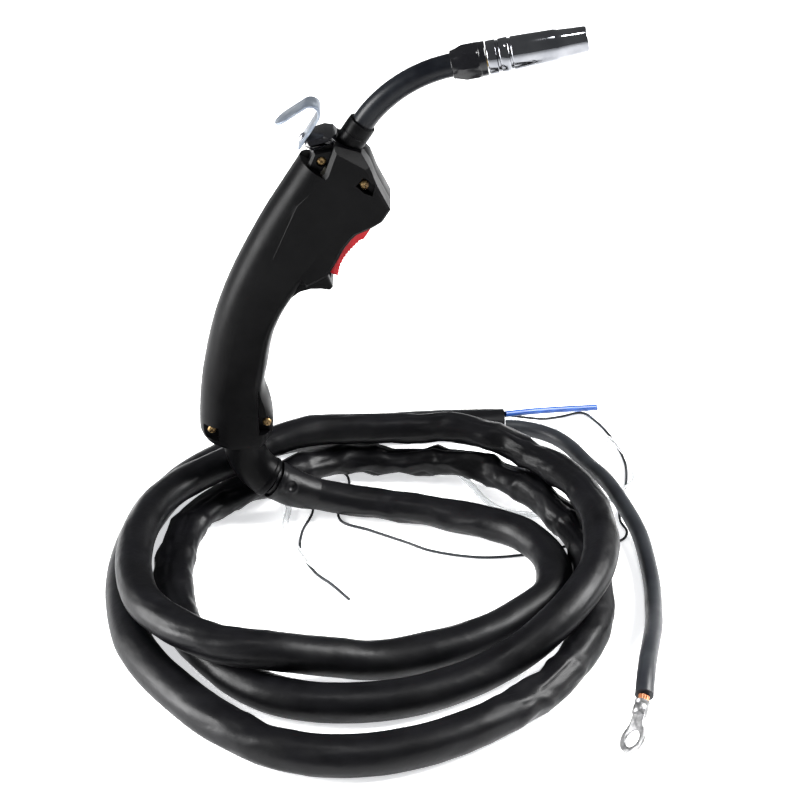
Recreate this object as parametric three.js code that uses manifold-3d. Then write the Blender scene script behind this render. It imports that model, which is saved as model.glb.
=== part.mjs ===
// A hand-held MIG welding torch with its cable: an assembly of separate named pieces, in millimetres, +Z up.
// The torch lies in the XZ plane, with its nozzle towards +X and its handle standing on its swivel knuckle.
// The figures below are heights above the floor that the cable lies on. The whole group is then moved so
// that the frame's origin is the centre of the torch's own bounding box.
import * as THREE from "three";
import { mergeVertices } from "three/addons/utils/BufferGeometryUtils.js";
import Module from "manifold-3d";

const wasm = await Module();
wasm.setup();

// ---- driving dimensions -------------------------------------------------------------------------------
const TORCH_CENTRE = [-9.6, 0, 177.1]; // centre of the torch's box, measured from the floor frame
const GAP = 0.3; // running clearance between touching pieces
const WALL = 2.6; // casing wall
const SPLIT = 0.15; // each casing half stops this far from the middle plane
const GRIP_HALF_WIDTH = 17;
const HEAD_HALF_WIDTH = 17;
const NECK_BLOCK_HALF_WIDTH = 11;
const CAP_HALF_WIDTH = 13;
const SPUR_HALF_WIDTH = 13;
const TRIGGER_HALF_WIDTH = 6.6;
const SLOT_HALF_WIDTH = 7.3;

const SWIVEL_X = -99; // the knuckle turns about the vertical line through this point
const KNUCKLE_R = 13.5;
const KNUCKLE_BORE_R = 10.9;
const KNUCKLE_TOP_Z = 78;
const GROOVE_Z = [70.1, 73.9];
const GROOVE_R = 11.9;

const NECK_R = 6.8;
const NECK_CORE_R = 5;
const NECK_LINER_R = 2;
const NECK_BEND_R = 83;
const NECK_START = new THREE.Vector3(-22, 0, 275.5); // where the straight root of the neck ends
const NECK_START_ANGLE = THREE.MathUtils.degToRad(57);
const NOZZLE_ANGLE = THREE.MathUtils.degToRad(11.6);
const NOZZLE_REAR = new THREE.Vector3(49.4, 0, 315.4);
const NOZZLE_LENGTH = 57.5;
const NOZZLE_R = 9.8;
const TIP_R = 3;

const COLLAR_R = 8.5;
const COLLAR_LENGTH = 24;
const SCREW_SHANK_R = 1.5;
const SCREW_HEAD_R = 2.9;
const PIN_R = 1.5;

const HOOK_HALF_WIDTH = 7.5;
const HOOK_THICKNESS = 1.5;
const HOOK_BEND_CENTRE = new THREE.Vector2(-51.5, 283.6);
const HOOK_BEND_R = 5.2;
const HOOK_ARM_ANGLE = THREE.MathUtils.degToRad(34);
const HOOK_LEG_ANGLE = THREE.MathUtils.degToRad(58);
const HOOK_ARM_LENGTH = 21.2;
const HOOK_LEG_LENGTH = 21.6;
const HOOK_SCREW_DROP = 16.4;

const JACKET_R = 10;
const LEAD_R = 5.3;
const WIRE_LINER_R = 2.2;
const GAS_TUBE_R = 2.1;
const SWITCH_LEAD_R = 0.9;

const LUG_RING_R = 8.8;
const LUG_HOLE_R = 5.2;
const LUG_THICKNESS = 1.6;

// ---- materials ----------------------------------------------------------------------------------------
const finish = (color, roughness, metalness) =>
  new THREE.MeshStandardMaterial({ color, roughness, metalness });
const black = finish(0x1b1b1d, 0.55, 0);
const glossBlack = finish(0x0c0c0e, 0.2, 0);
const rubber = finish(0x202022, 0.6, 0);
const red = finish(0xb4141a, 0.4, 0);
const chrome = finish(0xc8cacd, 0.1, 1);
const zinc = finish(0xb9c0c8, 0.3, 1);
const brass = finish(0xb08d4a, 0.35, 1);
const copper = finish(0xb5653a, 0.35, 1);
const steel = finish(0x9a9c9f, 0.35, 1);
const blue = finish(0x1d49b5, 0.45, 0);
const clear = finish(0xe6e9ea, 0.3, 0);
const nylon = finish(0xd9d4c6, 0.6, 0);

// ---- solids -------------------------------------------------------------------------------------------
// A closed geometry as a solid that can be joined and cut, with its faces turned outwards.
function toSolid(geometry) {
  const bare = geometry.index ? geometry.toNonIndexed() : geometry.clone();
  bare.deleteAttribute("normal");
  bare.deleteAttribute("uv");
  const merged = mergeVertices(bare, 1e-4);
  const wrap = (triangles) =>
    new wasm.Manifold(
      new wasm.Mesh({
        numProp: 3,
        vertProperties: merged.attributes.position.array,
        triVerts: new Uint32Array(triangles),
      }),
    );
  const solid = wrap(merged.index.array);
  return solid.volume() > 0 ? solid : wrap(Array.from(merged.index.array).reverse());
}

function toGeometry(solid) {
  const cut = solid.getMesh();
  const geometry = new THREE.BufferGeometry();
  geometry.setAttribute("position", new THREE.BufferAttribute(cut.vertProperties, 3));
  geometry.setIndex(new THREE.BufferAttribute(cut.triVerts, 1));
  geometry.computeVertexNormals();
  return geometry;
}

const join = (solids) => solids.reduce((whole, next) => whole.add(next));
const cut = (solid, tools) => tools.reduce((left, tool) => left.subtract(tool), solid);

// An outline of [x, z] corners, pushed out to both sides of the middle plane, with chamfered rims.
function plate(outline, halfWidth, chamfer = 0, steps = 1) {
  const shape = new THREE.Shape(outline.map(([x, z]) => new THREE.Vector2(x, z)));
  const geometry = new THREE.ExtrudeGeometry(shape, {
    depth: 2 * (halfWidth - chamfer),
    steps: 1,
    bevelEnabled: chamfer > 0,
    bevelThickness: chamfer,
    bevelSize: chamfer,
    bevelOffset: -chamfer,
    bevelSegments: steps,
  });
  geometry.translate(0, 0, chamfer - halfWidth);
  geometry.rotateX(Math.PI / 2);
  return toSolid(geometry);
}

// A box given by its lowest and highest corners.
function block(low, high) {
  const size = high.map((value, i) => value - low[i]);
  const geometry = new THREE.BoxGeometry(...size);
  geometry.translate(...low.map((value, i) => value + size[i] / 2));
  return toSolid(geometry);
}

// A profile of [radius, distance] points turned about the line from base towards direction.
function turned(profile, base, direction, segments = 24) {
  const points = profile.map(([radius, distance]) => new THREE.Vector2(radius, distance));
  const geometry = new THREE.LatheGeometry(points, segments);
  const turn = new THREE.Quaternion().setFromUnitVectors(
    new THREE.Vector3(0, 1, 0),
    direction.clone().normalize(),
  );
  geometry.applyQuaternion(turn);
  geometry.translate(base.x, base.y, base.z);
  return toSolid(geometry);
}

const rod = (radius, from, to, segments = 16) =>
  turned(
    [[0, 0], [radius, 0], [radius, from.distanceTo(to)], [0, from.distanceTo(to)]],
    from,
    to.clone().sub(from),
    segments,
  );

// A round bar along Y through [x, z].
const crossRod = (x, z, radius, lowY, highY, segments = 16) =>
  rod(radius, new THREE.Vector3(x, lowY, z), new THREE.Vector3(x, highY, z), segments);

// A ring profile, closed on itself.
const ring = (inner, outer, low, high) => [
  [inner, low], [outer, low], [outer, high], [inner, high], [inner, low],
];

// A round section swept along a curve, with an optional bore.
function swept(curve, radius, steps, sides, bore = 0) {
  const section = new THREE.Shape();
  section.absarc(0, 0, radius, 0, 2 * Math.PI, false);
  if (bore > 0) {
    const hole = new THREE.Path();
    hole.absarc(0, 0, bore, 0, 2 * Math.PI, true);
    section.holes.push(hole);
  }
  const geometry = new THREE.ExtrudeGeometry(section, {
    steps,
    curveSegments: sides / 2,
    extrudePath: curve,
  });
  return toSolid(geometry);
}

// A closed loft through rings of points that all have the same count.
function loft(rings) {
  const count = rings[0].length;
  const positions = rings.flat().flatMap((p) => [p.x, p.y, p.z]);
  const centre = (points) =>
    points.reduce((sum, p) => sum.add(p), new THREE.Vector3()).divideScalar(points.length);
  const first = centre(rings[0]);
  const last = centre(rings[rings.length - 1]);
  positions.push(first.x, first.y, first.z, last.x, last.y, last.z);
  const firstIndex = rings.length * count;
  const lastIndex = firstIndex + 1;
  const faces = [];
  for (let k = 0; k < count; k++) {
    const next = (k + 1) % count;
    faces.push(firstIndex, next, k);
    const top = (rings.length - 1) * count;
    faces.push(lastIndex, top + k, top + next);
    for (let r = 0; r + 1 < rings.length; r++) {
      const a = r * count + k;
      const b = r * count + next;
      faces.push(a, b, b + count, a, b + count, a + count);
    }
  }
  const geometry = new THREE.BufferGeometry();
  geometry.setAttribute("position", new THREE.Float32BufferAttribute(positions, 3));
  geometry.setIndex(faces);
  return toSolid(geometry);
}

// ---- the assembly -------------------------------------------------------------------------------------
const torch = new THREE.Group();
torch.position.set(-TORCH_CENTRE[0], -TORCH_CENTRE[1], -TORCH_CENTRE[2]);

function addPiece(name, material, solid) {
  const piece = new THREE.Mesh(toGeometry(solid), material);
  piece.name = name;
  torch.add(piece);
}

// ---- directions and centre lines ----------------------------------------------------------------------
const neckRootAxis = new THREE.Vector3(Math.cos(NECK_START_ANGLE), 0, Math.sin(NECK_START_ANGLE));
const nozzleAxis = new THREE.Vector3(Math.cos(NOZZLE_ANGLE), 0, Math.sin(NOZZLE_ANGLE));
const alongNozzle = (distance) => NOZZLE_REAR.clone().addScaledVector(nozzleAxis, distance);
const alongNeckRoot = (distance) => NECK_START.clone().addScaledVector(neckRootAxis, distance);

// The neck: a straight root, one round bend and a straight end, between two stated distances.
function neckCurve(rootDistance, nozzleDistance) {
  const toCentre = new THREE.Vector3(neckRootAxis.z, 0, -neckRootAxis.x);
  const bendCentre = NECK_START.clone().addScaledVector(toCentre, NECK_BEND_R);
  const points = [alongNeckRoot(rootDistance), alongNeckRoot(rootDistance / 2), alongNeckRoot(-1.5)];
  const bendSteps = 7;
  for (let k = 0; k <= bendSteps; k++) {
    const angle = THREE.MathUtils.lerp(NECK_START_ANGLE, NOZZLE_ANGLE, k / bendSteps);
    const outward = new THREE.Vector3(-Math.sin(angle), 0, Math.cos(angle));
    points.push(bendCentre.clone().addScaledVector(outward, NECK_BEND_R));
  }
  points.push(alongNozzle(-12), alongNozzle(nozzleDistance));
  return new THREE.CatmullRomCurve3(points);
}

// The block that grips the neck inside the head, in side view, grown by a clearance.
const CLAMP_BLOCK = { distance: -34, along: 2.5, across: 10, wide: 8.7 };

function blockOutline(growth) {
  const across = new THREE.Vector3(-neckRootAxis.z, 0, neckRootAxis.x);
  const corner = (a, b) => {
    const point = alongNeckRoot(CLAMP_BLOCK.distance + a * (CLAMP_BLOCK.along + growth));
    point.addScaledVector(across, b * (CLAMP_BLOCK.across + growth));
    return [point.x, point.z];
  };
  return [corner(-1, -1), corner(1, -1), corner(1, 1), corner(-1, 1)];
}

// ---- casing -------------------------------------------------------------------------------------------
// Back and front edges of the grip in side view, from the foot up, station by station.
const GRIP_STATIONS = [
  { back: [-116, 61.5], front: [-84, 65] },
  { back: [-122.5, 64], front: [-80.8, 68] },
  { back: [-126, 70], front: [-80, 74] },
  { back: [-126.3, 78], front: [-80, 82] },
  { back: [-125.6, 89], front: [-81.5, 92] },
  { back: [-124.2, 102], front: [-84.4, 103] },
  { back: [-121.2, 120], front: [-82, 117] },
  { back: [-115.6, 144], front: [-78, 137.5] },
  { back: [-109.5, 163], front: [-72.4, 152.2] },
  { back: [-102, 181], front: [-65.2, 164.7] },
  { back: [-92, 201], front: [-52, 184] },
  { back: [-80, 222.5], front: [-44, 204] },
  { back: [-68, 241.5], front: [-36, 225] },
  { back: [-58.5, 256.5], front: [-27, 238.5] },
];

// One cross-section between a back and a front point: a full round back and a tighter front edge.
function gripSection(back, front, halfWidth) {
  const backShare = 0.42;
  const frontShare = 0.16;
  const arcSteps = 5;
  const half = [];
  for (let k = 0; k <= arcSteps; k++) {
    const angle = (k / arcSteps) * (Math.PI / 2);
    half.push([backShare * (1 - Math.cos(angle)), halfWidth * Math.sin(angle)]);
  }
  for (let k = 0; k <= arcSteps; k++) {
    const angle = (k / arcSteps) * (Math.PI / 2);
    half.push([1 - frontShare * (1 - Math.sin(angle)), halfWidth * Math.cos(angle)]);
  }
  const other = half.slice(1, -1).reverse().map(([share, y]) => [share, -y]);
  return half.concat(other).map(([share, y]) => {
    const x = THREE.MathUtils.lerp(back[0], front[0], share);
    const z = THREE.MathUtils.lerp(back[1], front[1], share);
    return new THREE.Vector3(x, y, z);
  });
}

function gripLoft(stations, inset, halfWidth) {
  return loft(
    stations.map(({ back, front }) => {
      const along = new THREE.Vector2(front[0] - back[0], front[1] - back[1]).normalize();
      const innerBack = [back[0] + inset * along.x, back[1] + inset * along.y];
      const innerFront = [front[0] - inset * along.x, front[1] - inset * along.y];
      return gripSection(innerBack, innerFront, halfWidth - inset);
    }),
  );
}

// The trigger's seat in the front of the head, from the spur up to the nose.
const TRIGGER_SEAT = [
  [-43.3, 183.7], [-38.1, 192.5], [-33.5, 201.5], [-29, 207.9], [-25.9, 211.1], [-20, 213.9], [-14.5, 216.9],
];
// The opening through the front of the head and the spur that the trigger swings in.
const TRIGGER_SLOT = [
  [-5, 210.5], [-8, 221], [-19, 222.5], [-27, 221.5], [-36, 214], [-44, 202.5], [-49.5, 191], [-47, 182.9],
  [-41.4, 178.7], [-30, 172.5],
];
const HEAD_OUTLINE = [
  [-37.5, 267.5], [-22.3, 261.5], [-17.5, 254.5], [-13.5, 243.5], [-5.5, 227.5], [-10.4, 219.8],
  ...TRIGGER_SEAT.slice().reverse(),
  [-56, 176.5], [-78, 196], [-62, 232], [-43.5, 250.5],
];
const HEAD_CAVITY = [
  [-38, 262], [-25, 256], [-20.5, 244], [-12, 228], [-16, 222], [-30, 215.5], [-38, 202.5], [-48, 184.5],
  [-66, 182.5], [-84, 170], [-66, 222], [-46, 250],
];
const SPUR_OUTLINE = [
  [-68, 164.5], [-64.2, 168.5], [-60, 171.8], [-53.3, 173.8], [-47, 173.9], [-42, 173.1], [-40, 175.1],
  [-43.3, 183.7], [-50, 192.5], [-70, 186.5],
];
const NECK_BLOCK_OUTLINE = [[-54, 252.5], [-50, 262], [-40, 264.5], [-28, 258], [-36, 238], [-50, 242]];
const PINS = {
  trigger: [-22.3, 218.1],
  upper_back: [-45.4, 256.5],
  upper_front: [-20.6, 243.5],
  lower_back: [-117.8, 74],
  lower_front: [-83.2, 80],
};
const SCREW_SEAT_Y = {
  upper_back: -9,
  upper_front: -13.6,
  lower_back: -9.5,
  lower_front: -10.5,
};

function casing() {
  const outer = join([
    gripLoft(GRIP_STATIONS, 0, GRIP_HALF_WIDTH),
    plate(HEAD_OUTLINE, HEAD_HALF_WIDTH, 3),
    plate(SPUR_OUTLINE, SPUR_HALF_WIDTH, 0.8),
    plate(NECK_BLOCK_OUTLINE, NECK_BLOCK_HALF_WIDTH, 1.5),
  ]);
  const cavityStations = GRIP_STATIONS.filter(({ back }) => back[1] > 88 && back[1] < 250);
  const cavity = join([
    gripLoft(cavityStations, WALL, GRIP_HALF_WIDTH),
    plate(HEAD_CAVITY, HEAD_HALF_WIDTH - WALL),
  ]);
  const bosses = join(
    Object.values(PINS).map(([x, z]) =>
      crossRod(x, z, 4.2, 1.5 - HEAD_HALF_WIDTH, HEAD_HALF_WIDTH - 1.5),
    ),
  ).intersect(outer);
  const swivel = new THREE.Vector3(SWIVEL_X, 0, 0);
  const up = new THREE.Vector3(0, 0, 1);
  const tools = [
    turned([[0, 50], [KNUCKLE_R + 0.6, 50], [KNUCKLE_R + 0.6, 95], [0, 95]], swivel, up, 32),
    turned(ring(KNUCKLE_R - 1, KNUCKLE_R + 1.6, ...GROOVE_Z), swivel, up, 32),
    rod(COLLAR_R + GAP, alongNeckRoot(-58), alongNeckRoot(10), 24),
    plate(TRIGGER_SLOT, SLOT_HALF_WIDTH),
    plate(blockOutline(GAP), CLAMP_BLOCK.wide + GAP),
  ];
  for (const [name, [x, z]] of Object.entries(PINS)) {
    const screw = name !== "trigger";
    const far = screw ? 12 : 12.4;
    const near = screw ? -30 : -12.4;
    tools.push(crossRod(x, z, SCREW_SHANK_R + GAP, near, far));
    if (screw) {
      tools.push(crossRod(x, z, SCREW_HEAD_R + GAP, -30, SCREW_SEAT_Y[name]));
    }
  }
  return cut(outer.subtract(cavity).add(bosses), tools);
}

function addCasing() {
  const whole = casing();
  const near = block([-200, -60, 0], [100, -SPLIT, 400]);
  const far = block([-200, SPLIT, 0], [100, 60, 400]);
  addPiece("casing_left", black, whole.intersect(near));
  addPiece("casing_right", black, whole.intersect(far));
}

// ---- screws and pins ----------------------------------------------------------------------------------
// A pan-head screw whose head sits outside the seat point and whose shank runs along the direction.
function screw(seat, direction, length, headRadius = SCREW_HEAD_R - 0.1, shankRadius = SCREW_SHANK_R) {
  const headHeight = 1.9;
  const profile = [
    [0, -headHeight], [headRadius * 0.7, -headHeight], [headRadius, -headHeight * 0.45],
    [headRadius, -GAP], [shankRadius, -GAP], [shankRadius, length], [0, length],
  ];
  return turned(profile, seat, direction, 16);
}

function addCasingScrews() {
  const inward = new THREE.Vector3(0, 1, 0);
  for (const [name, seatY] of Object.entries(SCREW_SEAT_Y)) {
    const [x, z] = PINS[name];
    const seat = new THREE.Vector3(x, seatY, z);
    addPiece(`casing_screw_${name}`, brass, screw(seat, inward, 11.5 - seatY));
  }
}

// ---- trigger and switch -------------------------------------------------------------------------------
const TRIGGER_OUTLINE = [
  [-15.2, 215.7], [-18, 210.1], [-21.4, 204.7], [-24.6, 203.4], [-28.2, 199.5], [-31.6, 195.5],
  [-34.6, 190.7], [-36.3, 186.9], [-37.8, 180.1], [-41.2, 181.7], [-44.6, 188.5], [-40.6, 197.7],
  [-36.4, 205.9], [-31, 212.1], [-25.6, 216.1], [-22, 216.1],
];
const SWITCH_FACE = new THREE.Vector3(-45.9, 0, 200.3); // middle of the face that looks at the trigger
const SWITCH_INWARD = new THREE.Vector3(-0.894, 0, 0.447).normalize();
const SWITCH_ALONG = new THREE.Vector3(0.447, 0, 0.894).normalize();
const SWITCH_SIZE = { deep: 9, long: 19, halfWidth: 3.2 };
const PLUNGER_R = 1.3;
const PLUNGER_OUT = 5.5;
const PLUNGER_IN = 2.2;

const switchPoint = (inward, along, y = 0) =>
  SWITCH_FACE.clone()
    .addScaledVector(SWITCH_INWARD, inward)
    .addScaledVector(SWITCH_ALONG, along)
    .add(new THREE.Vector3(0, y, 0));

function addTrigger() {
  const [x, z] = PINS.trigger;
  const body = plate(TRIGGER_OUTLINE, TRIGGER_HALF_WIDTH, 0.6);
  const hub = crossRod(x, z, 3.3, -TRIGGER_HALF_WIDTH, TRIGGER_HALF_WIDTH, 20);
  const bore = crossRod(x, z, PIN_R + 0.05 + GAP / 2, -20, 20);
  addPiece("trigger", red, body.add(hub).subtract(bore));
  addPiece("trigger_pin", steel, crossRod(x, z, PIN_R, -12, 12));
}

function addSwitch() {
  const { deep, long, halfWidth } = SWITCH_SIZE;
  const corners = [[0, -long / 2], [0, long / 2], [deep, long / 2], [deep, -long / 2]].map(
    ([inward, along]) => {
      const corner = switchPoint(inward, along);
      return [corner.x, corner.z];
    },
  );
  const socket = rod(PLUNGER_R + GAP, switchPoint(-1, 0), switchPoint(PLUNGER_IN + 3, 0));
  const body = plate(corners.reverse(), halfWidth).subtract(socket);
  addPiece("switch_body", black, body);
  addPiece("switch_plunger", red, rod(PLUNGER_R, switchPoint(-PLUNGER_OUT, 0), switchPoint(PLUNGER_IN, 0)));
  for (const [name, along] of [["upper", 6], ["lower", -6]]) {
    const tab = rod(1.1, switchPoint(deep + GAP, along), switchPoint(deep + 5, along), 8);
    addPiece(`switch_terminal_${name}`, brass, tab);
  }
}

// ---- neck, holder, nozzle and what is inside them -----------------------------------------------------
function addNeck() {
  const rootEnd = -44;
  addPiece("neck_sleeve", black, swept(neckCurve(rootEnd + 6, -6), NECK_R, 18, 20, NECK_CORE_R + GAP));
  addPiece("neck_tube", brass, swept(neckCurve(rootEnd, -1), NECK_CORE_R, 18, 12, NECK_LINER_R + GAP));
  addPiece("neck_liner", steel, swept(neckCurve(rootEnd - 8, 11), NECK_LINER_R, 20, 6, 1));
  const collar = [
    [NECK_R + GAP, -9.5], [COLLAR_R - 0.6, -9.5], [COLLAR_R, -8.9], [COLLAR_R, 0.6], [COLLAR_R - 0.6, 1.2],
    [NECK_R + GAP, 1.2], [NECK_R + GAP, -9.5],
  ];
  const lower = ring(NECK_R + GAP, COLLAR_R, 1.2 - COLLAR_LENGTH, -9.2);
  const base = NECK_START.clone();
  const both = turned(collar, base, neckRootAxis, 28).add(turned(lower, base, neckRootAxis, 28));
  addPiece("neck_collar", black, both);
  const hexagon = turned([[0, 0], [7.4, 0], [7.4, 5.4], [0, 5.4]], alongNeckRoot(rootEnd), neckRootAxis, 6);
  const bore = rod(NECK_CORE_R + GAP, alongNeckRoot(rootEnd - 5), alongNeckRoot(rootEnd + 10));
  addPiece("neck_nut", brass, hexagon.subtract(bore));
  const ferrule = ring(NECK_LINER_R + GAP, 5.6, -12, -GAP);
  addPiece("crimp_ferrule", copper, turned(ferrule, alongNeckRoot(rootEnd), neckRootAxis, 20));
}

function addClampBlock() {
  const bore = rod(NECK_R + GAP, alongNeckRoot(-50), alongNeckRoot(-10), 24);
  addPiece("neck_clamp_block", nylon, plate(blockOutline(0), CLAMP_BLOCK.wide).subtract(bore));
}

function addNozzleParts() {
  const holder = [
    [NECK_R + GAP, -20.5], [7.9, -20.5], [9, -18], [10.2, -13], [10.2, -6], [9.9, -GAP],
    [NECK_CORE_R + GAP, -GAP], [NECK_CORE_R + GAP, -5.7], [NECK_R + GAP, -5.7], [NECK_R + GAP, -20.5],
  ];
  addPiece("nozzle_holder", glossBlack, turned(holder, NOZZLE_REAR, nozzleAxis, 24));
  const diffuser = [
    [NECK_LINER_R + GAP, -0.6], [NECK_CORE_R - 0.1, -0.6], [NECK_CORE_R - 0.1, 0.1], [7.2, 0.1], [7.2, 2.6],
    [6.2, 2.6], [6.2, 8.6], [7.2, 8.6], [7.2, 12], [5, 13], [5, 24], [3.3, 24], [3.3, 12.7],
    [NECK_LINER_R + GAP, 12.7], [NECK_LINER_R + GAP, -0.6],
  ];
  addPiece("gas_diffuser", brass, turned(diffuser, NOZZLE_REAR, nozzleAxis, 24));
  const tip = [
    [0.6, 13], [TIP_R, 13], [TIP_R, 50], [2.2, 54.5], [0.6, 54.5], [0.6, 13],
  ];
  addPiece("contact_tip", copper, turned(tip, NOZZLE_REAR, nozzleAxis, 16));
  const nozzle = [
    [7.8, 0.2], [NOZZLE_R - 0.5, 0.2], [NOZZLE_R, 0.8], [NOZZLE_R, 5.6], [9.1, 6.2], [9.1, 7.4],
    [NOZZLE_R, 8], [NOZZLE_R, 12.6], [9.1, 13.2], [9.1, 14.4], [NOZZLE_R - 0.1, 15], [8.9, 40], [8.6, 40.8],
    [7.3, NOZZLE_LENGTH - 0.6], [6.9, NOZZLE_LENGTH], [6.2, NOZZLE_LENGTH], [6.4, 42], [7.8, 18], [7.8, 0.2],
  ];
  addPiece("gas_nozzle", chrome, turned(nozzle, NOZZLE_REAR, nozzleAxis, 32));
  addPiece("nozzle_spring", steel, nozzleSpring());
}

// A three-turn wire spring that grips the nozzle from inside.
function nozzleSpring() {
  const turns = 3;
  const stepsPerTurn = 16;
  const coilRadius = 7;
  const pitch = 1.4;
  const points = [];
  for (let k = 0; k <= turns * stepsPerTurn; k++) {
    const angle = (2 * Math.PI * k) / stepsPerTurn;
    const rise = 3.5 + (pitch * k) / stepsPerTurn;
    points.push(new THREE.Vector3(coilRadius * Math.cos(angle), rise, coilRadius * Math.sin(angle)));
  }
  const turn = new THREE.Quaternion().setFromUnitVectors(new THREE.Vector3(0, 1, 0), nozzleAxis);
  points.forEach((point) => point.applyQuaternion(turn).add(NOZZLE_REAR));
  return swept(new THREE.CatmullRomCurve3(points), 0.45, turns * stepsPerTurn, 6);
}

// ---- cap and hook -------------------------------------------------------------------------------------
const CAP_OUTLINE = [
  [-53.6, 268.4], [-44, 271.8], [-39, 271], [-36.8, 268.8], [-42, 266.4], [-50, 262.9], [-55.2, 265.8],
];

function addCap() {
  const socket = rod(COLLAR_R + GAP, alongNeckRoot(-30), alongNeckRoot(10), 24);
  const hookHole = rod(1.25 + GAP, hookScrewSeat(-6), hookScrewSeat(7.2));
  addPiece("rear_cap", black, cut(plate(CAP_OUTLINE, CAP_HALF_WIDTH, 1.2), [socket, hookHole]));
}

const hookArmAxis = new THREE.Vector2(Math.cos(HOOK_ARM_ANGLE), Math.sin(HOOK_ARM_ANGLE));
const hookLegAxis = new THREE.Vector2(Math.cos(HOOK_LEG_ANGLE), Math.sin(HOOK_LEG_ANGLE));
const hookLegNormal = new THREE.Vector3(hookLegAxis.y, 0, -hookLegAxis.x);

// A point on the hook screw's axis, measured inwards from the leg's outer face.
function hookScrewSeat(inward) {
  const point = new THREE.Vector3(HOOK_BEND_CENTRE.x, 0, HOOK_BEND_CENTRE.y);
  point.add(new THREE.Vector3(hookLegAxis.x, 0, hookLegAxis.y).multiplyScalar(-HOOK_SCREW_DROP));
  return point.addScaledVector(hookLegNormal, HOOK_BEND_R - HOOK_THICKNESS / 2 + inward);
}

// One side of the bent strip, at a stated distance from its middle line.
function hookSide(offset) {
  const radius = HOOK_BEND_R + offset;
  const bendSteps = 10;
  const side = [];
  const start = HOOK_ARM_ANGLE + Math.PI / 2;
  const end = HOOK_LEG_ANGLE - Math.PI / 2;
  for (let k = 0; k <= bendSteps; k++) {
    const angle = THREE.MathUtils.lerp(start, end, k / bendSteps);
    const ray = new THREE.Vector2(Math.cos(angle), Math.sin(angle));
    side.push(HOOK_BEND_CENTRE.clone().addScaledVector(ray, radius));
  }
  const tip = side[0].clone().addScaledVector(hookArmAxis, -HOOK_ARM_LENGTH);
  const foot = side[bendSteps].clone().addScaledVector(hookLegAxis, -HOOK_LEG_LENGTH);
  return [tip, ...side, foot].map((point) => [point.x, point.y]);
}

function addHook() {
  const outline = hookSide(HOOK_THICKNESS / 2).concat(hookSide(-HOOK_THICKNESS / 2).reverse());
  const hole = rod(1.25 + GAP, hookScrewSeat(-4), hookScrewSeat(6));
  addPiece("hook", zinc, plate(outline.reverse(), HOOK_HALF_WIDTH).subtract(hole));
  addPiece("hook_screw", steel, screw(hookScrewSeat(-0.1), hookLegNormal, 7, 2.6, 1.25));
}

// ---- swivel knuckle -----------------------------------------------------------------------------------
const KNUCKLE_MOUTH = new THREE.Vector3(-83, 0, 31);
const KNUCKLE_BEND = [[-99, 58], [-97.6, 49.5], [-92.8, 40.2], [-87, 34]];

function addKnuckle() {
  const path = new THREE.CatmullRomCurve3([
    KNUCKLE_MOUTH,
    ...KNUCKLE_BEND.slice().reverse().map(([x, z]) => new THREE.Vector3(x, 0, z)),
    new THREE.Vector3(SWIVEL_X, 0, 68),
    new THREE.Vector3(SWIVEL_X, 0, KNUCKLE_TOP_Z),
  ]);
  const groove = turned(
    ring(GROOVE_R, KNUCKLE_R + 2, ...GROOVE_Z),
    new THREE.Vector3(SWIVEL_X, 0, 0),
    new THREE.Vector3(0, 0, 1),
    32,
  );
  addPiece("knuckle", black, swept(path, KNUCKLE_R, 16, 28, KNUCKLE_BORE_R).subtract(groove));
  const bush = ring(GROOVE_R + GAP, KNUCKLE_R + 1.3, GROOVE_Z[0] + GAP, GROOVE_Z[1] - GAP);
  const centre = new THREE.Vector3(SWIVEL_X, 0, 0);
  addPiece("swivel_bush", nylon, turned(bush, centre, new THREE.Vector3(0, 0, 1), 32));
}

// A tapered rubber cuff that holds the jacket's start and keeps it from kinking at the knuckle's mouth.
const CUFF_PROFILE = [[12.3, -6], [12.4, 12], [11.8, 21], [10.9, 31]]; // radius, distance past the mouth

function addCuff() {
  const jacket = curveThrough(JACKET_ROUTE);
  const start = jacket.getPointAt(0);
  const axis = jacket.getPointAt(1 / JACKET_STEPS).sub(start).normalize();
  const bore = JACKET_R + GAP;
  const back = CUFF_PROFILE[0][1];
  const end = CUFF_PROFILE[CUFF_PROFILE.length - 1][1];
  const profile = [[bore, back], ...CUFF_PROFILE, [bore, end], [bore, back]];
  const [lastX, lastZ] = KNUCKLE_BEND[KNUCKLE_BEND.length - 1];
  const outward = new THREE.Vector3(KNUCKLE_MOUTH.x - lastX, 0, KNUCKLE_MOUTH.z - lastZ).normalize();
  const behindMouth = rod(
    2 * KNUCKLE_R,
    KNUCKLE_MOUTH.clone().addScaledVector(outward, -2 * KNUCKLE_R),
    KNUCKLE_MOUTH.clone().addScaledVector(outward, GAP),
  );
  addPiece("jacket_cuff", rubber, turned(profile, start, axis, 28).subtract(behindMouth));
}

// ---- what runs inside the handle ----------------------------------------------------------------------
const curveThrough = (points) =>
  new THREE.CatmullRomCurve3(points.map(([x, y, z]) => new THREE.Vector3(x, y, z)));

function addHandleLeads() {
  const core = [
    alongNeckRoot(-56.9).toArray(), [-58.6, 0, 220.4], [-69, 0, 206], [-82.5, 0, 182], [-91.5, 0, 152],
    [-96.5, 0, 120], [-98.6, 0, 98], [-99, 0, 82],
  ];
  addPiece("handle_power_core", rubber, swept(curveThrough(core), 5, 14, 12));
  for (const [name, side, along] of [["upper", 1, 6], ["lower", -1, -6]]) {
    const start = switchPoint(SWITCH_SIZE.deep + 6.2, along);
    const wire = [
      start.toArray(), [start.x - 2, side * 5, start.z - 2], [-74, side * 7.6, 180], [-85, side * 7.6, 155],
      [-92, side * 7.6, 130], [-96, side * 7.6, 105], [-98, side * 7.6, 82],
    ];
    addPiece(`handle_wire_${name}`, rubber, swept(curveThrough(wire), 0.8, 16, 8));
  }
}

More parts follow.
